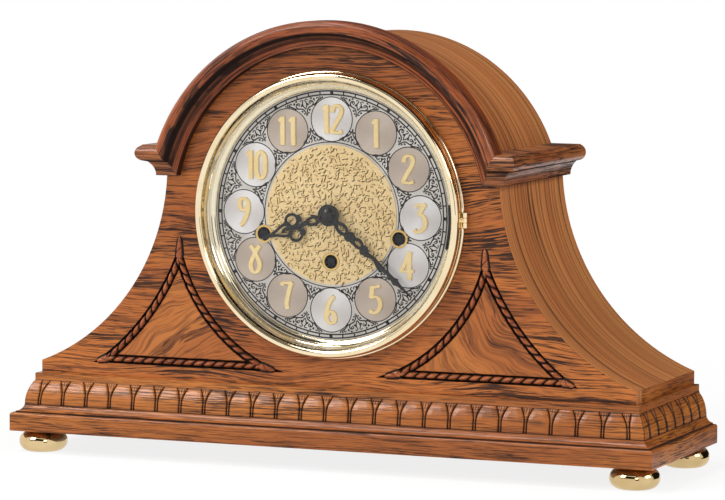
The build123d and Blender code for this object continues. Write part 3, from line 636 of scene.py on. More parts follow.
def skin(points: Array, loop: bool = False, tint: Array | None = None) -> Shape:
    """Join rows of points into closed solids.

    A row's points are joined round in a loop, and each row to the next one. Either the last row
    joins the first, or the first and the last row are flat caps.

    Args:
        points: Array (solids, rows, points, 3), or (rows, points, 3) for one solid.
        loop: Whether the last row joins the first.
        tint: Values at the points.

    Returns:
        The solids as one shape.
    """
    rows, cols = points.shape[-3:-1]
    row = np.arange(rows if loop else rows - 1)[:, None]
    col = np.arange(cols)
    here, below, beside = row * cols, (row + 1) % rows * cols, (col + 1) % cols
    quads = np.stack((here + col, here + beside, below + beside, below + col), axis=-1).reshape(-1, 4)
    shifts = np.arange(points.size // (rows * cols * 3))[:, None, None] * (rows * cols)
    faces = [(quads + shifts).reshape(-1, 4)]
    if not loop:
        caps = np.stack((col[::-1], col + (rows - 1) * cols))
        faces.append((caps + shifts).reshape(-1, cols))
    return Shape(points.reshape(-1, 3), faces, None if tint is None else tint.reshape(-1))


def add_object(name: str, data: bpy.types.ID) -> bpy.types.Object:
    """Put a mesh, lamp or camera into the scene.

    Args:
        name: Name of the object.
        data: What it shows.

    Returns:
        The object, at the origin.
    """
    made = bpy.data.objects.new(name, data)
    bpy.context.collection.objects.link(made)
    return made


def piece(name: str, shape: Shape, finish: Finish, body: str,
          replaces: Sequence[str] = (), smooth_deg: float = 40.0) -> None:
    """Put a shape into the scene.

    Args:
        name: Name of the piece.
        shape: Its points and faces.
        finish: Its finish.
        body: The body that it rides on.
        replaces: Nodes that it stands for.
        smooth_deg: Edges sharper than this stay crisp.
    """
    mesh = bpy.data.meshes.new(name)
    mesh.from_pydata((shape.points * MM).tolist(), [], sum((block.tolist() for block in shape.faces), []))
    if shape.tint is not None:
        layer = mesh.attributes.new("tint", "FLOAT", "POINT")
        layer.data.foreach_set("value", shape.tint.astype(np.float32))
    work = bmesh.new()
    work.from_mesh(mesh)
    bmesh.ops.recalc_face_normals(work, faces=work.faces)
    work.to_mesh(mesh)
    work.free()
    mesh.shade_smooth()
    mesh.set_sharp_from_angle(angle=math.radians(smooth_deg))
    mesh.materials.append(finish.material())
    made = add_object(name, mesh)
    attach(made, body)
    if replaces:
        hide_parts(*replaces)
    LOG.info("%s: %d points on %s", name, len(shape.points), body)


def dress(finish: Finish, *nodes: str) -> None:
    """Give CAD nodes a finish.

    Args:
        finish: The finish.
        nodes: Names of the nodes.
    """
    for name in nodes:
        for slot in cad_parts[name].material_slots:
            slot.material = finish.material()
    LOG.info("dressed %s", ", ".join(nodes))


INK_SECTION = np.array([(-1.0, 0.0), (-1.0, 1.0), (1.0, 1.0), (1.0, 0.0)])
BEVEL_SECTION = np.array([(-1.0, 0.0), (-1.0, 0.6), (-0.72, 1.0), (0.72, 1.0), (1.0, 0.6), (1.0, 0.0)])
CURL_SECTION = np.array([(-1.0, 0.0), (-0.55, 0.8), (0.0, 1.0), (0.55, 0.8), (1.0, 0.0)])
DIAL_AXIS = np.zeros((1, 2))


def turns(count: int) -> Array:
    """Angles spaced evenly once round."""
    return np.linspace(0.0, 2.0 * np.pi, count, endpoint=False)


def units(vectors: Array) -> Array:
    """The vectors of the last axis, each made one long."""
    return vectors / np.maximum(np.linalg.norm(vectors, axis=-1, keepdims=True), 1e-9)


def on_dial(flat: Array, y: Array) -> Array:
    """Points from x and z about the dial centre, and y."""
    return np.stack((flat[..., 0], np.broadcast_to(y, flat.shape[:-1]), DIAL_Z + flat[..., 1]), axis=-1)


def ribbons(paths: Array, half: Array | float, level: float, tall: float, section: Array,
            closed: bool = False, lift: float = 0.0) -> Shape:
    """Raised strips on the dial plane.

    Each strip is a section carried along a path: a point is the path's point, plus the path's
    sideways unit vector times the half width times the section's first number, and stands
    forward of the level by the section's second number times the height.

    Args:
        paths: Array (strips, points, 2) of x and z from the dial centre.
        half: Half width, or half widths that fit (strips, points).
        level: Distance behind the panel face of the strip's back.
        tall: Height of the strip.
        section: Section points.
        closed: Whether each path is a loop.
        lift: Small climb along each strip and from strip to strip, which keeps crossings apart.

    Returns:
        The strips as one shape.
    """
    count, steps, _ = paths.shape
    if closed:
        along = units(np.roll(paths, -1, axis=1) - np.roll(paths, 1, axis=1))
    else:
        along = units(np.gradient(paths, axis=1))
    side = np.stack((along[..., 1], -along[..., 0]), axis=-1)
    wide = np.broadcast_to(half, (count, steps))[:, :, None, None]
    flat = paths[:, :, None] + side[:, :, None] * wide * section[:, :1]
    climb = lift * (np.linspace(0.0, 1.0, steps)[:, None] + (np.arange(count) % 5)[:, None, None])
    return skin(on_dial(flat, FRONT + level - (tall + climb) * section[:, 1]), closed)


def lathe(profile: Array, steps: int = 48, centres: Array = DIAL_AXIS) -> Shape:
    """Turned solids about axes square to the dial.

    A profile point (radius, distance behind the panel face) goes round the axis: x is the centre
    plus radius times cosine, z the centre plus radius times sine. Each end of the profile is one
    flat cap.

    Args:
        profile: Profile points.
        steps: Points round the circle.
        centres: Axes, array (count, 2) from the dial centre.

    Returns:
        The turned shape.
    """
    turn = turns(steps)
    ring = np.stack((np.cos(turn), np.sin(turn)), axis=-1)
    flat = centres[:, None, None] + profile[:, None, :1] * ring
    return skin(on_dial(flat, FRONT + profile[:, None, 1]))


def smooth_line(knots: Knots, steps: int) -> Array:
    """Catmull-Rom curve through knots, sampled evenly in its parameter.

    Each span is the cubic whose end slopes are half the chord between the neighbouring knots.

    Args:
        knots: Points of any number of values.
        steps: Samples.

    Returns:
        Array (steps, values).
    """
    k = np.array(knots, dtype=float)
    k = np.concatenate((2 * k[:1] - k[1:2], k, 2 * k[-1:] - k[-2:-1]))
    t = np.linspace(0.0, len(k) - 3 - 1e-9, steps)
    i = t.astype(int)
    u = (t - i)[:, None]
    a, b, c, d = k[i], k[i + 1], k[i + 2], k[i + 3]
    square, cube = 2 * a - 5 * b + 4 * c - d, 3 * b - a - 3 * c + d
    return 0.5 * (2 * b + (c - a) * u + square * u ** 2 + cube * u ** 3)


def circle(radius: float, steps: int, x: float = 0.0, z: float = 0.0) -> Array:
    """A loop of points round a centre, with x by the sine and z by the cosine."""
    t = turns(steps)
    return np.stack((x + radius * np.sin(t), z + radius * np.cos(t)), axis=-1)


# Sub-assemblies


@dataclass
class Case:
    """Wooden case: panel, bent sides, hood, capitals, base and its carving."""

    base_stain: tuple[Rgb, Rgb, Rgb] = ((190, 114, 50), (158, 88, 38), (54, 28, 15))
    pitch: float = 17.0
    frieze_h: float = 15.7
    frieze_low: float = 8.32
    frieze_high: float = 3.36
    frieze_power: float = 2.05
    frieze_band: float = 0.25
    rail: float = 14.0
    mitre: float = 26.0
    return_start: float = 3.0
    funnel_low: float = 0.42
    funnel_tall: float = 0.54
    funnel_waist: float = 0.05
    funnel_flare: float = 0.16
    funnel_power: float = 1.9
    groove_w: float = 0.46
    groove_cut: float = 0.9
    hatch_low: float = 0.72
    hatch_cut: float = 0.4
    rope_dial_r: float = 110.3
    rope_in: float = 20.0
    rope_z: float = 63.2
    rope_half: float = 1.75
    rope_deep: float = 2.5
    rope_proud: float = 1.6
    strand: float = 7.2
    slant: float = 0.24
    tip_half: float = 2.9
    tip_taper: float = 1.9
    tip_rim: float = 1.0
    tip_top: float = 13.0
    tip_inner: float = 9.5
    tip_outer: float = 7.0
    tip_root: float = 2.0
    tip_back: float = 0.4
    reeds: tuple[float, ...] = (1.1, 3.3)
    reed_r: float = 0.8
    hollow: float = 5.5
    hollow_bend: float = 0.0863
    hollow_lean: float = 0.086
    mitre_rise: float = 1.212
    body: str = "case"

    def dress(self) -> None:
        """Give the wooden nodes their oak."""
        side = Oak("bent side oak", Grain.ROUND_CASE, (208, 138, 80), (180, 108, 60), (72, 41, 25), 0.85,
                   seed=4.0, long=0.3, fine=430.0, bands=0.35, wave=0.008)
        panel = Oak("front panel oak", Grain.LENGTHWISE, (192, 111, 48), (160, 87, 37), (42, 22, 14), 1.0,
                    edge=side, seed=1.7, heart=160.0, wave=0.03)
        floor = Oak("floor board oak", Grain.LENGTHWISE, *self.base_stain, 0.9, seed=9.0, fine=1200.0,
                    bands=0.7)
        # The lines of the hood, capitals and base board are dark glaze and painted shade in the mouldings'
        # hollows and joints.
        hood = Oak("hood oak", Grain.ARCH, (168, 90, 46), (134, 64, 32), (40, 19, 12), 0.85, rise=Rise.OUT,
                   start=HOOD_IN, lines=((7.6, 1.9, 1.0), (5.0, 1.6, 0.85), (0.0, 0.8, 0.9)), seed=3.0)
        capital = Oak("capital oak", Grain.LENGTHWISE, (164, 98, 54), (136, 74, 40), (46, 24, 15), 0.9,
                      rise=Rise.UP, start=CAP_Z, lines=((9.4, 1.1, 1.0), (4.6, 1.3, 0.5), (0.0, 0.7, 0.8)),
                      seed=6.0)
        board = Oak("base board oak", Grain.LENGTHWISE, *self.base_stain, 0.9, rise=Rise.UP, start=BASE_Z,
                    lines=((12.5, 0.7, 0.9), (17.3, 0.6, 0.9)), seed=8.0, fine=1200.0, bands=0.7)
        back = Oak("back board oak", Grain.UPRIGHT, (150, 96, 56), (128, 78, 44), (74, 42, 24), 0.8,
                   seed=11.0, rough=0.5)
        for oak, nodes in ((side, ("side_left", "side_right", "arch_top")), (panel, ("front_panel",)),
                           (floor, ("floor_board",)), (hood, ("hood_moulding",)), (board, ("base_board",)),
                           (capital, ("capital_left", "capital_right")),
                           (back, ("back_frame", "door_panel"))):
            dress(oak, *nodes)
        for name, turn, seed in (("inlay_left", 0.5, 2.0), ("inlay_right", 2.5, 5.0)):
            veneer = Oak(name + " veneer", Grain.FIGURED, (190, 116, 54), (170, 96, 42), (84, 44, 23), 0.75,
                         seed=seed, turn=turn, rough=0.32, fine=560.0)
            dress(veneer, name)

    def reed_hood(self) -> None:
        """Fine reeds along the hollow of the hood.

        Each reed is a small circle carried round the dial's axis. Its distance from the axis is the
        hood's inner radius plus an offset, and it stands before the panel by the hollow's depth, a
        square law of that offset. The ends are on the mitre, whose height grows with the offset.
        """
        shift = np.array(self.reeds)[:, None, None]
        radius = HOOD_IN + shift
        out = self.hollow + self.hollow_bend * shift ** 2 - self.hollow_lean * shift
        first = np.arcsin((CAP_Z - DIAL_Z + self.mitre_rise * shift) / radius)
        t = first + (np.pi - 2.0 * first) * np.linspace(0.0, 1.0, 120)[:, None]
        a = turns(12)
        r = radius + self.reed_r * np.cos(a)
        y = FRONT - out - self.reed_r * np.sin(a)
        points = np.stack(np.broadcast_arrays(r * np.cos(t), y, DIAL_Z + r * np.sin(t)), axis=-1)
        # Painted shade: each reed is darker on its back half, towards the panel.
        tint = np.broadcast_to(np.clip(0.55 - 0.9 * np.sin(a), 0.0, 1.0), points.shape[:-1])
        oak = Oak("reed oak", Grain.ARCH, (160, 84, 44), (130, 62, 32), (54, 24, 15), 0.6,
                  rise=Rise.CARVED, seed=15.0, rough=0.26)
        piece("hood_reeds", skin(points, tint=tint), oak, self.body,
              smooth_deg=60.0)

    def motif(self, run: Array, share: Array, face: Array, spread: float) -> tuple[Array, Array]:
        """Depth of cut, and the glaze with painted shade, of the frieze's funnels and tongues.

        Along the run each motif is one pitch wide: a funnel whose half width grows with a power of
        the height, cut round by a groove that is a bell curve of the distance to the funnel's edge,
        swelling towards its hatched top, with a tongue that swells between two funnels.

        Args:
            run: Distance along the frieze.
            share: Height on the round face, from 0 at its foot to 1 at its top.
            face: 1 on the round face and 0 on the plain sides.
            spread: How far the glaze and painted shade go past the groove.

        Returns:
            Depth in millimetres, and glaze with painted shade of 0 to 1, each an array (run, share).
        """
        u = np.abs((run / self.pitch + 0.5) % 1.0 - 0.5)[:, None]
        flare = np.clip((share - self.funnel_low) / self.funnel_tall, 0.0, 1.0)
        gap = (u - self.funnel_waist - self.funnel_flare * flare ** self.funnel_power) * self.pitch
        groove = np.exp(-(gap / self.groove_w) ** 2)
        groove_shade = np.exp(-(gap / (self.groove_w * spread)) ** 2)
        inside = np.clip(-gap / 0.6, 0.0, 1.0)
        swell = 0.5 * inside * flare + 0.35 * np.sqrt(np.clip(gap / 4.0, 0.0, 1.0))
        strokes = np.clip(np.cos(u * self.pitch * 3.6) - 0.1, 0.0, 1.0)
        top_fade = np.clip((1.0 - share) / 0.08, 0.0, 1.0)
        hatch = inside * strokes * np.clip((share - self.hatch_low) / 0.14, 0.0, 1.0) * top_fade
        depth = (self.groove_cut * groove + self.hatch_cut * hatch - swell) * face * top_fade
        # Painted shade: dark along the grooves, in the hatch strokes and along the foot and top of the round
        # face.
        foot = np.exp(-(share / 0.035) ** 2) + np.exp(-((share - 1.0) / 0.02) ** 2)
        return depth, np.clip((1.4 * groove_shade + 0.85 * hatch + 0.8 * foot) * face, 0.0, 1.0)

    def carve_frieze(self) -> None:
        """Make the three carved runs of the frieze.

        The section is the frieze's own round face, band, top, back and bottom, sunk square to the
        face by the motif's depth. The front run's ends and the returns' front ends are mitred: near a
        corner each point moves along the run by as much as its section falls short of the lowest one.
        """
        oak = Oak("carved frieze oak", Grain.LENGTHWISE, (192, 116, 52), (160, 90, 38), (54, 28, 15), 0.85,
                  rise=Rise.CARVED, seed=12.0, rough=0.28, fine=1200.0, bands=0.6)
        low, high, tall = self.frieze_low, self.frieze_high, self.frieze_h
        top = FRIEZE_TOP - FRIEZE_Z
        rise = np.linspace(0.0, 1.0, 25)
        out = low + (high - low) * rise ** self.frieze_power
        lean = np.arctan2(np.gradient(rise * tall), -np.gradient(out))
        plain = np.zeros(4)
        outs = np.concatenate((out, (high, high, -self.rail, -self.rail)))
        ups = np.concatenate((rise * tall, (tall + self.frieze_band, top, top, 0.0)))
        face, share = np.concatenate((np.ones_like(rise), plain)), np.concatenate((rise, plain + 1.0))
        nx, nz = np.concatenate((np.sin(lean), plain)), np.concatenate((np.cos(lean), plain))
        for name, steps, sign in (("frieze_front", 1441, 0.0), ("frieze_left", 433, -1.0),
                                  ("frieze_right", 433, 1.0)):
            s = np.linspace(0.0, 1.0, steps)[:, None]
            if sign == 0.0:
                run = (s * 2.0 - 1.0) * (BODY_HW + low)
                depth, dark = self.motif(run[:, 0], share, face, 1.0)
                near = np.clip((np.abs(run) - BODY_HW - low) / self.mitre + 1.0, 0.0, 1.0)
                xs = run - np.sign(run) * (low - outs) * near
                ys = FRONT - (outs - depth * nx)
            else:
                run = s * (BACK - FRONT + low)
                depth, dark = self.motif(run[:, 0] - low - self.return_start, share, face, 2.2)
                xs = sign * (BODY_HW + outs - depth * nx)
                ys = FRONT - low + run + (low - outs) * np.clip(1.0 - run / self.mitre, 0.0, 1.0)
            points = np.stack((xs, ys, FRIEZE_Z + ups - depth * nz), axis=-1)
            piece(name + "_carving", skin(points, tint=dark), oak, self.body, [name],
                  smooth_deg=60.0)

    def bead(self, flat: Array, y: Array, dark: Array, back: float) -> Shape:
        """Close a carved strip behind: each row goes on to two points of painted shade behind its edges.

        Args:
            flat: Array (rows, points, 2) of x and z.
            y: Array (rows, points).
            dark: Glaze and painted shade, array (rows, points).
            back: The y of the two points.

        Returns:
            The closed strip.
        """
        pair = np.ones((len(flat), 2))
        flat = np.concatenate((flat, flat[:, [-1, 0]]), axis=1)
        y = np.concatenate((y, pair * back), axis=1)
        dark = np.concatenate((dark, pair), axis=1)
        return skin(np.stack((flat[..., 0], y, flat[..., 1]), axis=-1), tint=dark)

    def rope_side(self, line: Array) -> Shape:
        """One side of a rope moulding along a line.

        The bead's height is a half ellipse across its width, scaled by a rounded saw that is the
        sine of the distance along the line over the strand length plus a slant across the bead.

        Args:
            line: Path, array (points, 2) of x and z in the clock's frame.

        Returns:
            The closed bead.
        """
        step = np.linalg.norm(np.diff(line, axis=0), axis=1)
        run = np.concatenate(((0.0,), np.cumsum(step)))
        along = units(np.gradient(line, axis=0))
        side = np.stack((along[:, 1], -along[:, 0]), axis=-1)
        a = np.linspace(-1.0, 1.0, 13)
        lobe = np.abs(np.sin(np.pi * (run[:, None] / self.strand + self.slant * a + 0.3)))
        ends = np.clip(np.minimum(run, run[-1] - run) / 3.0, 0.0, 1.0)[:, None] ** 0.5
        full = (self.rope_deep + self.rope_proud) * np.sqrt(1.0 - 0.80 * a ** 2)
        high = full * (0.42 + 0.58 * lobe ** 0.55) * (0.45 + 0.55 * ends)
        wide = self.rope_half * (0.86 + 0.14 * lobe ** 0.4) * (0.25 + 0.75 * ends)
        flat = line[:, None] + side[:, None] * (wide * a)[..., None]
        # Painted shade in the cuts between strands and along the bead's edges.
        dark = np.clip((1.0 - lobe) ** 2.2 * 1.8 + np.abs(a) ** 8 * 0.9, 0.0, 1.0)
        return self.bead(flat, FRONT + self.rope_deep - high, dark, FRONT + self.rope_deep)

    def rope_tip(self, place: Array, way: Array, reach: float) -> Shape:
        """The blunt strand that runs on from a corner of the rope.

        Along the strand the half width falls in a straight line between two round ends; across it the
        height is a half ellipse, with one slanting cut, on a thin rim of painted shadow.

        Args:
            place: The corner, x and z.
            way: Unit vector out of the corner.
            reach: Length of the strand.

        Returns:
            The closed strand.
        """
        u = np.linspace(0.0, 1.0, 40)[:, None]
        a = np.linspace(-1.4, 1.4, 21)
        ends = np.clip(np.maximum((u - 0.8) / 0.2, 1.0 - u / 0.3), 0.0, 1.0)
        blunt = np.sqrt(np.clip(1.0 - ends ** 2, 0.02, 1.0))
        body = np.clip(np.abs(a), 0.0, 1.0) * (self.tip_half - self.tip_taper * u) * blunt
        shadow_rim = np.clip(np.abs(a) - 1.0, 0.0, 1.0) / 0.4 * self.tip_rim * blunt ** 0.5
        inside = np.clip(1.0 - a ** 2, 0.0, 1.0)
        cut = np.exp(-((u * reach - 0.42 * reach - 1.7 * a) / 0.6) ** 2)
        high = 0.06 + self.rope_proud * np.sqrt(inside) * blunt * (1.0 - 0.8 * cut)
        # Painted shadow on the low rim round the strand, and painted shade in its cut.
        dark = np.clip(1.7 - 4.0 * inside + 1.1 * cut, 0.0, 1.0)
        side = np.array((way[1], -way[0]))
        middle = place + way * (u * (reach + self.tip_root) - self.tip_root)[..., None]
        flat = middle + side * (np.sign(a) * (body + shadow_rim))[..., None]
        return self.bead(flat, FRONT - high, dark, FRONT + self.tip_back)

    def lay_rope(self) -> None:
        """Make both rope triangles.

        The corners are where the circle about the dial centre, the circle about the shoulder's
        centre and the level line meet; each side follows its circle or line between two corners.
        A tip leaves each corner in the middle between its two sides.
        """
        oak = Oak("rope oak", Grain.LENGTHWISE, (186, 108, 62), (158, 84, 46), (70, 34, 20), 0.5,
                  rise=Rise.CARVED, seed=14.0, rough=0.2)
        ra, rb = self.rope_dial_r, SWEEP_R + self.rope_in
        za, zb = DIAL_Z, SPRING_Z
        apart = math.hypot(SWEEP_X, zb - za)
        opening = math.acos((ra ** 2 + apart ** 2 - rb ** 2) / (2.0 * ra * apart))
        top_a = math.atan2(zb - za, SWEEP_X) - opening
        low_a = -math.acos(math.sqrt(ra ** 2 - (za - self.rope_z) ** 2) / ra)
        low_b = math.pi + math.asin((zb - self.rope_z) / rb)
        top_b = math.atan2(za + ra * math.sin(top_a) - zb, ra * math.cos(top_a) - SWEEP_X) % (2.0 * math.pi)
        t = np.linspace(0.0, 1.0, 300)
        ta, tb = top_a + (low_a - top_a) * t, top_b + (low_b - top_b) * t
        arc_a = np.stack((ra * np.cos(ta), za + ra * np.sin(ta)), axis=-1)
        arc_b = np.stack((SWEEP_X + rb * np.cos(tb), zb + rb * np.sin(tb)), axis=-1)
        foot = np.linspace(arc_a[-1], arc_b[-1], 300)
        tips = [(place, units(2.0 * place - first - second), reach) for place, first, second, reach in (
            (arc_a[0], arc_a[6], arc_b[6], self.tip_top), (arc_a[-1], arc_a[-7], foot[6], self.tip_inner),
            (arc_b[-1], arc_b[-7], foot[-7], self.tip_outer))]
        for name, sign in (("rope_left", -1.0), ("rope_right", 1.0)):
            mirror = np.array((sign, 1.0))
            parts = [self.rope_side(line * mirror) for line in (arc_a, arc_b, foot)]
            parts += [self.rope_tip(place * mirror, way * mirror, reach) for place, way, reach in tips]
            piece(name + "_carving", sum(parts[1:], parts[0]), oak, self.body, [name],
                  smooth_deg=70.0)

    def build(self) -> None:
        """Dress the case and make its carving."""
        self.dress()
        self.reed_hood()
        self.carve_frieze()
        self.lay_rope()


# Drawn knots: a digit's x and z, a scroll's sideways, outward and half width

DIGITS: dict[str, list[Knots]] = {
    "0": [[(0.0, 0.47), (-0.13, 0.32), (-0.16, 0.0), (-0.13, -0.32), (0.0, -0.47), (0.13, -0.32),
           (0.16, 0.0), (0.13, 0.32), (0.0, 0.47)]],
    "1": [[(-0.12, 0.34), (-0.05, 0.38), (0.01, 0.46)],
          [(0.02, 0.49), (0.015, 0.2), (0.02, -0.2), (0.03, -0.49)]],
    "2": [[(-0.15, 0.24), (-0.14, 0.36), (-0.06, 0.46), (0.07, 0.46), (0.16, 0.34), (0.13, 0.16),
           (0.0, -0.08), (-0.1, -0.26), (-0.17, -0.44), (-0.04, -0.45), (0.08, -0.46), (0.19, -0.39)]],
    "3": [[(-0.17, 0.38), (-0.08, 0.44), (0.05, 0.44), (0.16, 0.47), (0.06, 0.3), (-0.02, 0.15),
           (0.1, 0.08), (0.18, -0.1), (0.15, -0.31), (0.02, -0.45), (-0.12, -0.47), (-0.19, -0.4)]],
    "4": [[(0.06, 0.48), (0.05, 0.1), (0.06, -0.48)],
          [(0.04, 0.44), (-0.08, 0.1), (-0.21, -0.17), (0.0, -0.19), (0.22, -0.18)]],
    "5": [[(-0.1, 0.44), (0.0, 0.42), (0.1, 0.45), (0.18, 0.48)],
          [(-0.1, 0.45), (-0.11, 0.25), (-0.12, 0.07), (0.04, 0.09), (0.16, -0.04), (0.17, -0.25),
           (0.07, -0.42), (-0.08, -0.47), (-0.18, -0.38)]],
    "6": [[(0.12, 0.48), (0.02, 0.38), (-0.09, 0.16), (-0.15, -0.1), (-0.14, -0.33), (-0.02, -0.46),
           (0.12, -0.4), (0.15, -0.24), (0.09, -0.09), (-0.03, -0.06), (-0.13, -0.18)]],
    "7": [[(-0.17, 0.34), (-0.14, 0.43), (0.0, 0.43), (0.17, 0.46)],
          [(0.16, 0.46), (0.09, 0.22), (0.02, -0.08), (-0.01, -0.3), (0.03, -0.48)]],
    "8": [[(-0.17, 0.47), (-0.06, 0.34), (0.04, 0.14), (0.15, -0.1), (0.14, -0.33), (0.0, -0.46),
           (-0.14, -0.33), (-0.15, -0.1), (-0.04, 0.14), (0.06, 0.34), (0.17, 0.48)]],
}
DIGITS["9"] = [[(-x, -z) for x, z in stroke] for stroke in DIGITS["6"]]

OUTER_SCROLLS: tuple[Knots, ...] = (
    ((0.3, -6.4, 0.2), (0.6, -3.6, 0.4), (2.2, -1.3, 0.42), (4.6, -0.7, 0.42), (6.1, 0.9, 0.42),
     (5.5, 2.6, 0.4), (3.8, 2.7, 0.36), (3.3, 1.5, 0.32), (4.2, 1.0, 0.4)),
    ((4.6, -0.6, 0.3), (7.0, 0.2, 0.4), (9.2, 1.9, 0.4), (10.6, 3.4, 0.36), (9.6, 4.2, 0.32),
     (8.8, 3.4, 0.4)),
    ((9.0, 1.9, 0.3), (11.2, 2.9, 0.36), (13.4, 3.9, 0.3), (12.8, 4.5, 0.36)),
    ((0.0, -2.0, 0.3), (1.2, 0.4, 0.4), (1.4, 2.2, 0.4), (0.6, 3.6, 0.32), (1.8, 4.2, 0.3),
     (2.6, 3.6, 0.36)),
    ((1.9, -3.4, 0.1), (2.6, -2.9, 0.7), (3.4, -2.6, 0.1)),
    ((6.4, -1.2, 0.1), (7.2, -0.6, 0.6), (8.0, -0.4, 0.1)),
    ((1.0, -5.2, 0.1), (1.5, -4.6, 0.55), (2.1, -4.3, 0.1)),
    ((7.4, 2.3, 0.1), (7.1, 3.2, 0.7), (7.0, 4.2, 0.1)),
    ((2.7, 0.1, 0.1), (2.2, 0.8, 0.65), (2.0, 1.7, 0.1)),
    ((6.0, 3.9, 0.1), (5.3, 4.3, 0.6), (4.4, 4.3, 0.1)),
    ((11.0, 4.6, 0.1), (11.6, 4.1, 0.5), (12.2, 3.5, 0.1)),
    ((4.3, 1.7, 0.2), (4.7, 1.8, 0.7), (5.0, 1.6, 0.2)))
INNER_SCROLLS: tuple[Knots, ...] = (
    ((0.2, 5.4, 0.2), (0.5, 2.8, 0.38), (1.8, 0.7, 0.42), (3.8, -0.6, 0.42), (4.9, -2.2, 0.4),
     (4.0, -3.5, 0.36), (2.7, -3.0, 0.32), (3.1, -2.0, 0.42)),
    ((3.8, -0.6, 0.3), (5.6, -1.6, 0.38), (7.3, -3.2, 0.32), (6.6, -3.9, 0.36)),
    ((0.0, 0.8, 0.3), (0.9, -1.2, 0.38), (0.8, -2.8, 0.34), (1.8, -3.7, 0.36)),
    ((1.0, 3.8, 0.1), (1.4, 3.2, 0.55), (2.0, 2.8, 0.1)),
    ((2.4, 1.7, 0.1), (2.9, 1.2, 0.6), (3.6, 1.0, 0.1)),
    ((1.9, -0.5, 0.1), (1.7, -1.2, 0.6), (1.3, -2.0, 0.1)),
    ((5.1, -3.7, 0.1), (5.4, -3.1, 0.55), (5.6, -2.5, 0.1)))


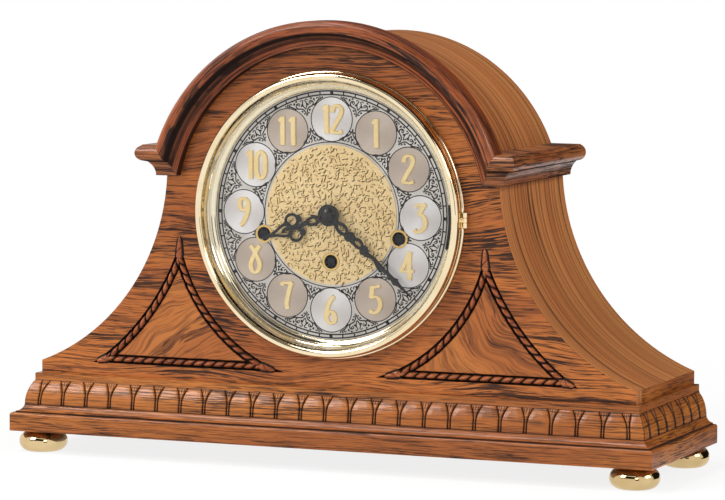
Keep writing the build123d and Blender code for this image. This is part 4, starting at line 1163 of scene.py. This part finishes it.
@dataclass
class Dial:
    """Silvered dial with its printed work, hour discs, numerals and gilt centre."""

    face: float = 2.2
    disc_at: float = 61.0
    disc_r: float = 14.2
    ring_in: float = 76.7
    ring_out: float = 79.0
    ring_half: float = 0.45
    bar_bold: float = 1.1
    bar_fine: float = 0.42
    line_half: float = 0.3
    ink_t: float = 0.05
    ink_lift: float = 0.01
    scroll_t: float = 0.04
    scroll_out: float = 71.2
    scroll_in: float = 51.6
    centre_r: float = 44.8
    centre_line_r: float = 46.4
    tall: float = 18.6
    digit_wide: float = 1.06
    digit_step: float = 0.40
    digit_t: float = 1.0
    digit_back: float = 0.04
    digit_lift: float = 0.03
    stroke: float = 1.22
    curls: int = 760
    curl_edge: float = 1.8
    curl_half: float = 0.38
    curl_t: float = 0.5
    curl_sunk: float = 0.02
    wash_shift: Point = (0.5, -0.45)
    wash_spread: float = 1.1
    hole_low: float = 30.0
    hole_side: Point = (46.7, 13.8)
    hole_clear: float = 7.6
    hub_clear: float = 7.0
    body: str = "case"

    def dress(self) -> None:
        """Give the dial's nodes their finishes."""
        dress(BrushedDial("silvered dial", (222, 216, 210), (198, 190, 182)), "dial_plate")
        dress(Gilt("gilt centre", (246, 218, 164), (226, 190, 132), 0.7, 0.42, 0.2), "dial_centre")
        dress(Metal("grommet brass", (226, 190, 120), (200, 158, 88), 0.2), "winding_grommets")

    def centres(self) -> Array:
        """Middles of the twelve hour discs, from 12 o'clock on."""
        t = np.arange(12) * np.pi / 6.0
        return self.disc_at * np.stack((np.sin(t), np.cos(t)), axis=-1)

    def hour_discs(self) -> None:
        """Twelve silvered discs in two tones: painted light and painted shade.

        Each is a turned solid with a flat face, and its painted sheen is the cosine of twice the angle
        about its centre, fading towards the middle.
        """
        # Painted light and shade: the discs at hours 0, 3 and 4 of every six are the lit copies, the rest the
        # shaded ones.
        bright = np.isin(np.arange(12) % 6, (0, 3, 4))
        share = np.array((1.0, 1.0, 0.7, 0.4, 0.04))
        depth = np.array((0.02, -0.05, -0.05, -0.05, -0.05))
        profile = np.stack((self.disc_r * share, self.face + depth), axis=-1)
        # Painted sheen: a bright band across each disc.
        sheen = 0.5 + 0.5 * np.cos(2.0 * turns(64) + 0.7) * share[:, None] ** 0.5
        for name, chosen, pale, dull in (("bright", bright, (242, 238, 238), (204, 196, 192)),
                                         ("shaded", ~bright, (206, 190, 176), (182, 164, 150))):
            shape = lathe(profile, 64, self.centres()[chosen])
            shape.tint = np.tile(sheen.reshape(-1), int(chosen.sum()))
            finish = BrushedDial(name + " hour disc", pale, dull, turned=True)
            piece("hour_discs_" + name, shape, finish, self.body)

    def ink_lines(self, loops: Array, half: float, layer: int) -> Shape:
        """Printed closed lines of one half width, in one of the layers that keep crossings apart."""
        return ribbons(loops, half, self.face - layer * self.ink_lift, self.ink_t, INK_SECTION, True)

    def minute_bars(self) -> Shape:
        """Sixty straight bars across the minute ring, every fifth one bold.

        Returns:
            The bars.
        """
        t = np.arange(60) * np.pi / 30.0
        way = np.stack((np.sin(t), np.cos(t)), axis=-1)
        bars = way[:, None, :] * np.linspace(self.ring_in, self.ring_out, 3)[:, None]
        wide = np.where(np.arange(60) % 5 == 0, self.bar_bold, self.bar_fine)[:, None]
        return ribbons(bars, wide, self.face - 2 * self.ink_lift, self.ink_t, INK_SECTION)

    def tracery(self) -> Shape:
        """Scroll work in the corners between the discs.

        Each stroke is a smooth curve through knots given as sideways and outward from the corner's
        middle. The sideways distance becomes an angle about the dial centre, so the work bends with
        the ring, and every stroke is mirrored and set in all twelve corners.

        Returns:
            The scrolls.
        """
        rows = [(middle, side, smooth_line(stroke, 14))
                for middle, strokes in ((self.scroll_out, OUTER_SCROLLS), (self.scroll_in, INNER_SCROLLS))
                for stroke in strokes for side in (-1.0, 1.0)]
        middle, side = (np.array([row[k] for row in rows])[:, None] for k in (0, 1))
        lines = np.stack([row[2] for row in rows])
        arm = middle + lines[..., 1]
        theta = ((np.arange(12) + 0.5) * np.pi / 6.0)[:, None, None] + side * lines[..., 0] / arm
        paths = np.stack((arm * np.sin(theta), arm * np.cos(theta)), axis=-1).reshape(-1, 14, 2)
        wide = np.tile(lines[..., 2], (12, 1))
        return ribbons(paths, wide, self.face - self.ink_lift, self.scroll_t, INK_SECTION)

    def print_work(self) -> None:
        """All the black print: minute ring, scrolls, disc outlines and the line round the centre."""
        rings = np.stack([circle(r, 240) for r in (self.ring_in, self.ring_out)])
        discs = np.stack([circle(self.disc_r, 72, x, z) for x, z in self.centres()])
        shape = self.ink_lines(rings, self.ring_half, 1) + self.minute_bars() + self.tracery()
        shape = shape + self.ink_lines(discs, self.line_half, 4)
        shape = shape + self.ink_lines(circle(self.centre_line_r, 160)[None], self.line_half, 1)
        ink = Enamel("dial ink", (18, 17, 17), (30, 28, 28), 0.5, 0.0, 0.2)
        piece("dial_print", shape, ink, self.body, smooth_deg=20.0)

    def numerals(self) -> None:
        """Twelve applied numerals, each stroke a bevelled bar along a smooth curve.

        The half width grows with how upright the stroke runs, so stems are heavier than bars.
        """
        strokes = []
        for hour, centre in enumerate(self.centres()):
            text = str(hour or 12)
            for place, digit in enumerate(text):
                shift = (place - 0.5 * (len(text) - 1)) * self.digit_step
                for stroke in DIGITS[digit]:
                    line = smooth_line(stroke, 40) * (self.digit_wide, 1.0) + (shift, 0.0)
                    strokes.append(line * self.tall + centre)
        paths = np.stack(strokes)
        along = units(np.gradient(paths, axis=1))
        wide = self.stroke * (0.78 + 0.62 * np.abs(along[..., 1]) ** 1.5)
        level = self.face - self.digit_back
        shape = ribbons(paths, wide, level, self.digit_t, BEVEL_SECTION, lift=self.digit_lift)
        gold = Gilt("numeral gilt", (250, 224, 166), (230, 194, 128), 0.25, 0.3, 0.25)
        piece("numerals", shape, gold, self.body, smooth_deg=35.0)

    def emboss(self) -> None:
        """Raised curls all over the gilt centre, paler as a painted highlight, each with a brown painted
        shadow beside it, down and to the right.

        The curls sit on a sunflower spiral: the radius is the square root of the count and the
        angle the golden angle times the count. Each is an arc whose turn and size change with the
        count, and those over a winding hole or the hub are left out.
        """
        k = np.arange(self.curls)
        radius = (self.centre_r - self.curl_edge) * np.sqrt((k + 0.5) / len(k))
        angle = k * math.pi * (3.0 - math.sqrt(5.0))
        x, z = radius * np.sin(angle), radius * np.cos(angle)
        low = np.hypot(x, z + self.hole_low)
        side = np.hypot(np.abs(x) - self.hole_side[0], z + self.hole_side[1])
        clear = (np.minimum(low, side) > self.hole_clear) & (np.hypot(x, z) > self.hub_clear)
        k, x, z = k[clear][:, None], x[clear][:, None], z[clear][:, None]
        t = np.linspace(-1.0, 1.0, 8)
        heading = 2.39 * k + 1.3 * np.sin(0.7 * k)
        bow = 2.2 * np.sin(1.9 * k + 0.4)
        size = 1.9 + 0.6 * np.sin(3.1 * k)
        way = heading + bow * np.where(np.sin(5.3 * k) > 0.0, t, 1.4 * t ** 2)
        step = size * (2.0 / 7.0)
        px = x + np.cumsum(np.cos(way) * step, axis=1) - size * np.cos(heading)
        pz = z + np.cumsum(np.sin(way) * step, axis=1) - size * np.sin(heading)
        paths = np.stack((px, pz), axis=-1)
        wide = self.curl_half * (1.0 - 0.75 * np.abs(t) ** 1.6)
        level = corner("dial_centre", 0, 1) - FRONT + self.curl_sunk
        # Painted highlight: the curls' gilt is paler than the ground's.
        gold = Gilt("raised gilt painted highlight", (254, 232, 178), (240, 208, 146), 0.2, 0.3, 0.25)
        curls = ribbons(paths, wide, level, self.curl_t, CURL_SECTION)
        piece("centre_emboss", curls, gold, self.body, smooth_deg=60.0)
        # Painted shadow: a flat brown copy of each curl, shifted down and to the right.
        shadow_ink = Enamel("gilt painted shadow", (88, 58, 28), (120, 82, 42), 0.5, 0.0, 0.2)
        shade = ribbons(paths + self.wash_shift, wide * self.wash_spread, level, self.ink_t, INK_SECTION)
        piece("centre_painted_shadow", shade, shadow_ink, self.body, smooth_deg=20.0)

    def build(self) -> None:
        """Dress the dial and make all its work."""
        self.dress()
        self.hour_discs()
        self.print_work()
        self.numerals()
        self.emboss()


@dataclass
class Hands:
    """Black serpentine hands and their domed nut.

    A stroke is a row of knots: distance from the centre, sideways and half width. One whose last
    knot is its first is a loop. A hub is a turned profile.
    """

    hour_len: float = 50.0
    minute_len: float = 76.6
    hour_angle: float = 250.6
    minute_angle: float = 131.2
    thick: float = 0.8
    thinner: float = 0.008
    bold: float = 1.16
    hour_hub: Knots = ((6.4, -0.4), (6.4, -1.0), (6.1, -1.25))
    minute_hub: Knots = ((7.0, -3.0), (7.0, -3.6), (6.7, -3.85))
    nut_foot: Knots = ((5.2, -3.8), (5.2, -4.3), (4.9, -4.5))
    nut_r: float = 4.6
    nut_rise: float = 2.2
    finish: Enamel = Enamel("black hand enamel", (16, 15, 15), (26, 24, 23), 0.3, 0.2, 0.3)

    def lay(self, strokes: Sequence[Knots], angle: float, level: float) -> Shape:
        """Strokes of a hand, each a bevelled bar along a smooth curve, turned to the hand's angle.

        Args:
            strokes: The strokes, each one a little lower than the one before.
            angle: Degrees clockwise from twelve.
            level: Distance behind the panel face of the back of the hand.

        Returns:
            The hand.
        """
        a = math.radians(angle)
        turn = np.array(((math.sin(a), math.cos(a)), (math.cos(a), -math.sin(a))))
        parts = []
        for number, knots in enumerate(strokes):
            loop = knots[0] == knots[-1]
            line = smooth_line(knots, 33)[None, :-1] if loop else smooth_line(knots, 40)[None]
            tall = self.thick - self.thinner * number
            path, half = line[..., :2] @ turn, line[..., 2] * self.bold
            parts.append(ribbons(path, half, level, tall, BEVEL_SECTION, loop))
        return sum(parts[1:], parts[0])

    def ring(self, u: float, v: float, ru: float, rv: float, half: float) -> Knots:
        """An open oval loop: its middle plus two radii times cosine and sine."""
        loop = [(u + ru * math.cos(q), v + rv * math.sin(q), half) for q in turns(10)]
        return loop + loop[:1]

    def hook(self, u: float, side: float, size: float) -> Knots:
        """A barb that curls away from the spine."""
        return [(u, 0.2 * side, 0.9), (u + 0.4 * size, side * size * 0.75, 0.75),
                (u + 1.0 * size, side * size * 1.2, 0.16)]

    def hour(self) -> Shape:
        """Hour hand: pierced stem, two loops with ball ends, pierced leaf and a point.

        Returns:
            The hand with its hub.
        """
        leaf = ((28.5, 0.6, 0.9), (31.5, 3.6, 0.8), (35.0, 3.1, 0.76), (39.5, 1.3, 0.76), (43.0, 0.3, 1.0))
        strokes = [((5.0, 0.0, 2.2), (7.5, 0.0, 1.6)), self.ring(12.2, 0.0, 4.4, 2.3, 0.85),
                   ((16.0, 0.0, 1.2), (19.0, 0.0, 1.3), (22.0, 0.0, 1.6), (25.0, 0.0, 1.2), (29.0, 0.0, 1.4)),
                   self.ring(26.4, 4.7, 4.2, 3.9, 0.78), self.ring(26.4, -4.8, 4.2, 3.9, 0.78),
                   ((22.6, 3.2, 1.2), (21.0, 4.4, 2.3), (19.6, 4.6, 1.3)),
                   ((22.6, -3.2, 1.2), (21.0, -4.5, 2.3), (19.6, -4.7, 1.3)),
                   leaf, [(u, -v, half) for u, v, half in leaf],
                   ((30.0, 0.0, 0.8), (32.5, 0.8, 0.9), (34.5, -0.4, 0.8), (33.4, -1.2, 0.5)),
                   ((42.0, 0.0, 1.3), (46.0, 0.0, 1.0), (self.hour_len, 0.0, 0.2)),
                   self.hook(9.4, 1.0, 3.6), self.hook(9.0, -1.0, 3.0), self.hook(28.6, 2.3, 2.0),
                   self.hook(28.6, -2.3, 2.0)]
        shape = self.lay(strokes, self.hour_angle, corner("hour_hand", 1, 1) - FRONT)
        return shape + lathe(np.array(self.hour_hub))

    def minute(self) -> Shape:
        """Minute hand: two pierced swells between barbed blocks, a wavy stem and a long point.

        Returns:
            The hand with its hub.
        """
        stem = ((29.8, 0.0, 1.4), (32.0, -0.3, 2.6), (34.6, 0.4, 2.0), (37.0, 0.2, 1.3), (41.0, -0.8, 1.05),
                (45.0, 0.0, 1.5), (48.0, 0.5, 1.8), (51.0, 0.2, 1.15), (55.0, -0.3, 1.0), (58.5, 0.0, 1.3),
                (61.5, 0.2, 2.0), (64.5, 0.0, 1.1), (69.0, 0.0, 0.75), (self.minute_len, 0.0, 0.25))
        strokes = [((5.0, 0.0, 2.4), (8.6, 0.0, 1.7)), self.ring(12.6, 0.0, 4.4, 2.5, 0.95),
                   ((16.6, 0.0, 1.6), (19.0, 0.5, 2.7), (21.5, -0.4, 2.3), (23.6, 0.0, 1.4)),
                   self.ring(26.8, -0.6, 3.4, 2.2, 0.85), stem]
        for u, size in ((18.0, 3.0), (21.6, 2.2), (30.6, 2.8), (34.0, 2.2), (60.4, 1.9)):
            strokes += [self.hook(u, side, size) for side in (-1.0, 1.0)]
        strokes += [self.hook(47.0, 1.0, 2.2), self.hook(44.5, -1.0, 1.3)]
        shape = self.lay(strokes, self.minute_angle, corner("minute_hand", 1, 1) - FRONT)
        return shape + lathe(np.array(self.minute_hub))

    def nut(self) -> Shape:
        """Domed nut: a half ellipse turned about the dial's axis, on a small step.

        Returns:
            The nut.
        """
        r = np.linspace(self.nut_r, 0.3, 12)
        rise = self.nut_rise * np.sqrt(1.0 - (r / (self.nut_r + 0.01)) ** 2)
        dome = np.stack((r, self.nut_foot[-1][1] - rise), axis=-1)
        return lathe(np.concatenate((self.nut_foot, dome)))

    def build(self) -> None:
        """Make both hands and the nut."""
        for name, shape, body, node, smooth in (
                ("hour_hand_serpentine", self.hour(), "hour_work", "hour_hand", 35.0),
                ("minute_hand_serpentine", self.minute(), "minute_work", "minute_hand", 35.0),
                ("hand_nut_dome", self.nut(), "minute_work", "hand_nut", 40.0)):
            piece(name, shape, self.finish, body, [node], smooth_deg=smooth)


POLISHED = Metal("polished brass", (247, 230, 194), (236, 212, 164), 0.05, 0.03)


@dataclass
class Bezel:
    """Polished bezel ring with its hinge knuckle, the domed glass and the sight ring behind it."""

    foot_r: float = 92.4
    foot_in: float = 1.2
    foot_share: float = 0.24
    waist_share: float = 0.58
    crown_share: float = 0.88
    crown_in: float = 2.4
    rim_r: float = 91.0
    hollow_r: float = 90.6
    lip_r: float = 86.2
    lip_t: float = 0.8
    wall_r: float = 87.45
    front: float = 10.5
    seat: float = 8.2
    gap: float = 0.4
    steps: int = 288
    sight_r: float = 80.0
    sight_land: float = 0.6
    sight_edge: float = -0.05
    bead: float = 2.4
    slot_r: float = 81.8
    slot_w: float = 2.8
    slot_l: float = 26.0
    slot_deep: float = 1.3
    slot_drop: float = 5.2
    slot_ramp: float = 0.2
    slot_zone: Point = (-17.0, 10.0)
    glass_r: float = 87.4
    glass_t: float = 2.0
    dome_r: float = 85.8
    rise: float = 7.2
    knuckle_r: float = 1.5
    knuckle_l: float = 3.2
    knuckle_ease: float = 0.3
    notch_gap: float = 0.4
    notch_deep: float = 6.0
    web_root: float = 2.5
    web_half: float = 0.9
    pale: Metal = Metal("sight ring brass", (246, 234, 208), (240, 222, 182), 0.08, 0.0, slotted=True)
    clear: ClearGlass = ClearGlass("bezel glass")

    def bend(self, first: Point, middle: Point, last: Point) -> Array:
        """The square-law curve through three points, without its last point."""
        t = np.linspace(0.0, 1.0, 12, endpoint=False)[:, None]
        return (np.array(first) * (1 - t) * (1 - 2 * t) + 4 * np.array(middle) * t * (1 - t)
                + np.array(last) * t * (2 * t - 1))

    def ring(self) -> Shape:
        """The ring: a closed profile that goes round the dial's axis.

        The profile has a foot, a hollow, a round rim and a lip over the glass. Beside the hinge the
        sideways distance of the foot is held to the notch, as on the solid.

        Returns:
            The ring.
        """
        shares = (self.foot_share, self.waist_share, self.crown_share)
        foot, waist, crown = (-self.front * share for share in shares)
        r0, r1, lip = self.foot_r, self.rim_r, (self.lip_r, -self.seat - self.lip_t)
        ledge, top = (r0 - self.foot_in, foot), (r1 - self.crown_in, -self.front)
        profile = np.concatenate((
            ((r0, -self.gap), (r0, -self.gap - 0.3)),
            self.bend((r0, -self.gap - 0.6), (r0 - 0.35, foot + 0.5), ledge),
            self.bend(ledge, (self.hollow_r, (foot + waist) / 2.0), (r1, waist)),
            self.bend((r1, waist), (r1 - 0.5, crown), top),
            self.bend(top, (self.lip_r + 0.7, -self.front + 0.4), lip),
            (lip, (self.lip_r, -self.seat), (self.wall_r, -self.seat), (self.wall_r, -self.gap))))
        turn = turns(self.steps)
        x, z = profile[:, :1] * np.cos(turn), profile[:, :1] * np.sin(turn)
        y = FRONT + profile[:, 1:] + 0.0 * turn
        beside = np.abs(z) < self.knuckle_l * 1.5 + self.knuckle_ease
        beside = beside & (x > 0.0) & (y > FRONT - self.notch_deep)
        x = np.where(beside, np.minimum(x, self.hinge()[0] - self.knuckle_r - self.notch_gap), x)
        return skin(np.stack((x, y, DIAL_Z + z), axis=-1), loop=True)

    def sight_ring(self) -> Shape:
        """The sloping ring round the dial: a profile with a bead and a cove, carried round the dial's axis.

        Beside 3 o'clock the points within a round-ended slot sink by a steep ramp of their distance
        to its middle line, and the tint marks them for painted shade. Columns are closer together there.

        Returns:
            The ring.
        """
        low, high = corner("sight_ring", 1, 1) - FRONT, corner("sight_ring", 0, 1) - FRONT
        outer, deep = corner("sight_ring", 1, 0), corner("sight_ring", 1, 1) - corner("sight_ring", 0, 1)
        r0, r1 = self.sight_r, self.lip_r
        crest = (r0 + self.bead, low - 0.33 * deep)
        slope = np.concatenate((
            self.bend((r0, low), (r0 + 0.2 * self.bead, low - 0.2 * deep), crest),
            self.bend(crest, (r0 + 0.72 * (r1 - r0), low - 0.56 * deep), (r1, high)), ((r1, high),)))
        rows = np.linspace(0.0, len(slope) - 1.0, 4 * len(slope) - 3)
        close = np.stack([np.interp(rows, np.arange(len(slope)), slope[:, k]) for k in (0, 1)], axis=-1)
        wall = ((r1 + self.sight_land, high), (outer, self.sight_edge), (outer, low))
        profile = np.concatenate((close, wall))
        first, last = self.slot_zone
        turn = np.radians(np.concatenate((np.linspace(first, last, 130, endpoint=False),
                                          np.linspace(last, first + 360.0, 266, endpoint=False))))
        along = np.maximum(np.abs(turn * self.slot_r + self.slot_drop) - self.slot_l / 2.0, 0.0)
        away = np.hypot(along, profile[:, :1] - self.slot_r)
        sunk = np.clip((self.slot_w / 2.0 - away) / self.slot_ramp, 0.0, 1.0)
        x, z = profile[:, :1] * np.cos(turn), profile[:, :1] * np.sin(turn)
        y = FRONT + profile[:, 1:] + self.slot_deep * sunk
        return skin(np.stack((x, y, DIAL_Z + z), axis=-1), loop=True, tint=sunk)

    def glass(self) -> Shape:
        """The domed glass: a turned sheet whose two faces are caps of one sphere, with a flat rim.

        Returns:
            The glass.
        """
        sphere = (self.dome_r ** 2 + self.rise ** 2) / (2.0 * self.rise)
        r = np.linspace(0.4, self.dome_r, 40)
        cap = -self.seat - np.sqrt(sphere ** 2 - r ** 2) + sphere - self.rise
        front = np.stack((r, cap), axis=-1)
        rim = np.array(((self.glass_r, -self.seat), (self.glass_r, -self.seat + self.glass_t)))
        back = np.stack((r, cap + self.glass_t), axis=-1)[::-1]
        return lathe(np.concatenate((front, rim, back)), 144)

    def hinge(self) -> Point:
        """The hinge axis's x and y, from the leaf on the case."""
        x, y = corner("bezel_hinge_leaf", 1, 0), corner("bezel_hinge_leaf", 0, 1)
        return x - self.knuckle_r, y + self.knuckle_r

    def knuckle(self) -> Shape:
        """The knuckle: a short upright roll with eased ends, joined to the ring by a web.

        Both are rows of points: the roll's radius is a function of its height, and the web is a
        rounded bar carried from the ring to the hinge axis.

        Returns:
            The knuckle with its web.
        """
        x, y = self.hinge()
        half, ease = self.knuckle_l / 2.0, self.knuckle_ease
        cos, sin = np.cos(turns(24)), np.sin(turns(24))
        up = np.array((-half, -half + ease, half - ease, half))[:, None]
        r = self.knuckle_r - np.array((ease, 0.0, 0.0, ease))[:, None]
        roll = np.stack(np.broadcast_arrays(x + r * cos, y + r * sin, DIAL_Z + up), axis=-1)
        across, tall = (np.sign(v) * np.abs(v) ** 0.4 for v in (cos, sin))
        out = np.array((self.rim_r - self.web_root, x))[:, None]
        web = np.broadcast_arrays(out, y + self.web_half * across, DIAL_Z + (half - 0.1) * tall)
        return skin(roll) + skin(np.stack(web, axis=-1))

    def build(self) -> None:
        """Make the ring with its knuckle, the glass and the sight ring."""
        for name, shape, finish, body, slot, node, smooth in (
                ("bezel_polished", self.ring() + self.knuckle(), POLISHED, "bezel", "polished_brass",
                 "bezel_ring", 35.0),
                ("bezel_glass_dome", self.glass(), self.clear, "bezel", "glass", "bezel_glass", 30.0),
                ("sight_ring_polished", self.sight_ring(), self.pale, "case", "polished_brass", "sight_ring",
                 40.0)):
            piece(name, shape, finish, body, [node], smooth_deg=smooth)


@dataclass
class Fittings:
    """Hinges, feet, door furniture and the movement, which keep their CAD shapes."""

    foot: Metal = Metal("foot brass", (224, 198, 150), (194, 164, 112), 0.05, 0.05)
    satin: Metal = Metal("movement brass", (214, 178, 106), (190, 150, 80), 0.26, 0.14,
                         (40.0, 40.0, 400.0), 0.06)
    steel: Metal = Metal("drawn steel", (178, 178, 182), (140, 140, 146), 0.24, 0.14, (300.0, 60.0, 300.0))
    # Dark steel, partly painted shade: the winding arbors stand for the dark inside the winding holes.
    blued: Metal = Metal("dark steel with painted hole shade", (46, 46, 52), (30, 30, 34), 0.34, 0.12)
    iron: Metal = Metal("cast iron", (72, 72, 74), (44, 44, 46), 0.55, 0.2, (220.0, 220.0, 220.0), 0.5)

    def build(self) -> None:
        """Give the metal nodes their finishes."""
        dress(POLISHED, "bezel_hinge_leaf", "door_knob", "bezel_glass_ring", "door_hinge_leaves",
              "door_hinge_frame_leaves")
        dress(self.foot, "bun_feet")
        dress(self.satin, "front_plate", "back_plate", "time_barrel", "strike_barrel",
              "chime_barrel", "centre_arbor", "hour_wheel", "intermediate_wheel", "motion_wheel",
              "third_wheel", "escape_wheel", "strike_wheel", "chime_drum", "balance_wheel")
        dress(self.steel, "plate_pillars", "movement_straps", "pallet_lever", "tone_rods",
              "door_catch", *(f"hammer_{number}" for number in range(1, 5)))
        dress(self.blued, *(f"{train}_winding_arbor" for train in ("time", "strike", "chime")))
        dress(self.iron, "chime_block")


@dataclass
class Studio:
    """Floor, lights, world and camera, in metres; a lamp has a side and a power, a card two sides."""

    azimuth: float = 22.4925
    elevation: float = 5.1639
    roll: float = 0.214
    distance: float = 2.4644
    target: Place = (0.00609, -0.0155, 0.13745)
    focal_px: float = 3812.86
    width_px: float = 725.0
    ambient: float = 0.34
    floor_side: float = 12.0
    pale: StudioFloor = StudioFloor("studio floor")
    dark: DarkCard = DarkCard("dark card")
    lamp_aim: Place = (0.0, 0.0, 0.13)
    lamps: tuple[tuple[str, Place, float, float], ...] = (
        ("key lamp", (-1.3, -1.7, 1.6), 0.9, 33.5), ("fill lamp", (1.3, -2.2, 1.0), 0.6, 5.0),
        ("side lamp", (2.4, -0.2, 1.4), 1.0, 24.0), ("top lamp", (-0.7, -0.35, 2.3), 0.8, 24.0))
    upright_cards: tuple[tuple[str, Place, float, float], ...] = (
        ("dark_card_back", (0.7, 1.8, 0.9), 4.4, 1.8), ("dark_card_front", (-0.4, -2.8, 1.75), 4.6, 1.6),
        ("dark_card_right", (1.5, -2.4, 0.5), 0.8, 0.9), ("dark_card_high", (1.2, -0.6, 1.75), 1.6, 1.3))
    level_cards: tuple[tuple[str, Place, float, float], ...] = (
        ("dark_card_floor", (1.0, 0.9, 0.002), 1.5, 1.7), ("dark_card_ceiling", (0.0, -0.3, 2.7), 4.0, 4.0))

    def camera(self) -> None:
        """Set the camera at the photograph's angle."""
        az, el, roll = (math.radians(v) for v in (self.azimuth, self.elevation, self.roll))
        back = Vector((math.sin(az) * math.cos(el), -math.cos(az) * math.cos(el), math.sin(el)))
        right = (-back).cross(Vector((0.0, 0.0, 1.0))).normalized()
        up = right.cross(-back)
        r2 = math.cos(roll) * right + math.sin(roll) * up
        u2 = math.cos(roll) * up - math.sin(roll) * right
        data = bpy.data.cameras.new("photo camera")
        data.sensor_width = 36.0
        data.lens = self.focal_px / self.width_px * data.sensor_width
        data.clip_end = 50.0
        place = Matrix((r2, u2, back)).transposed().to_4x4()
        place.translation = Vector(self.target) + back * self.distance
        made = add_object("photo camera", data)
        made.matrix_world = place
        bpy.context.scene.camera = made

    def lamp(self, name: str, place: Place, size: float, power: float) -> None:
        """A square soft lamp that faces the clock.

        Args:
            name: Name of the lamp.
            place: Its middle.
            size: Its side.
            power: Its power in watts.
        """
        data = bpy.data.lights.new(name, "AREA")
        data.energy = power
        data.size = size
        aim = (Vector(place) - Vector(self.lamp_aim)).to_track_quat("Z", "Y")
        add_object(name, data).matrix_world = Matrix.LocRotScale(Vector(place), aim, None)

    def sheet(self, name: str, finish: Finish, turn: Matrix, wide: float, high: float) -> bpy.types.Object:
        """Put a flat sheet on the stage.

        Args:
            name: Name of the sheet.
            finish: Its finish.
            turn: Its place and turn.
            wide: Width.
            high: Height.

        Returns:
            The sheet.
        """
        mesh = bpy.data.meshes.new(name)
        corners = [turn @ Vector((sx * wide / 2.0, sz * high / 2.0, 0.0))
                   for sx, sz in ((-1, -1), (1, -1), (1, 1), (-1, 1))]
        mesh.from_pydata([tuple(c) for c in corners], [], [(0, 1, 2, 3)])
        mesh.materials.append(finish.material())
        made = add_object(name, mesh)
        return made

    def card(self, name: str, place: Place, wide: float, high: float, way: Place) -> None:
        """A dark card beside the lamps that shows only in polished metal and gloss.

        Args:
            name: Name of the card.
            place: Its middle.
            wide: Width.
            high: Height.
            way: The way that its back faces.
        """
        turn = Matrix.LocRotScale(Vector(place), Vector(way).to_track_quat("Z", "Y"), None)
        sheet = self.sheet(name, self.dark, turn, wide, high)
        for ray in ("camera", "diffuse", "transmission", "volume_scatter", "shadow"):
            setattr(sheet, "visible_" + ray, False)

    def sky(self) -> None:
        """White world to the camera, metal and glass; a plain level of light for the rest."""
        world = bpy.data.worlds.new("studio world")
        bpy.context.scene.world = world
        world.use_nodes = True
        g = Graph(world.node_tree)
        strength = self.ambient + (1.0 - self.ambient) * g.seen()
        light = g.sock(g.node("ShaderNodeBackground", None, {"Color": WHITE, "Strength": strength}))
        g.node("ShaderNodeOutputWorld", None, {"Surface": light})

    def build(self) -> None:
        """Set the whole studio."""
        self.camera()
        self.sheet("studio_floor", self.pale, Matrix(), self.floor_side, self.floor_side)
        self.sky()
        for row in self.lamps:
            self.lamp(*row)
        for name, place, wide, high in self.upright_cards:
            self.card(name, place, wide, high, (place[0], place[1], 0.0))
        for name, place, wide, high in self.level_cards:
            self.card(name, place, wide, high, (0.0, 0.0, 1.0))
        bpy.context.scene.view_settings.view_transform = "Standard"


def main() -> None:
    """Build the classes in order."""
    logging.basicConfig(level=logging.INFO, format="%(message)s")
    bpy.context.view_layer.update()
    for part in (Case(), Dial(), Hands(), Bezel(), Fittings(), Studio()):
        LOG.info("building the %s", type(part).__name__.lower())
        part.build()


if __name__ == "__main__":
    main()
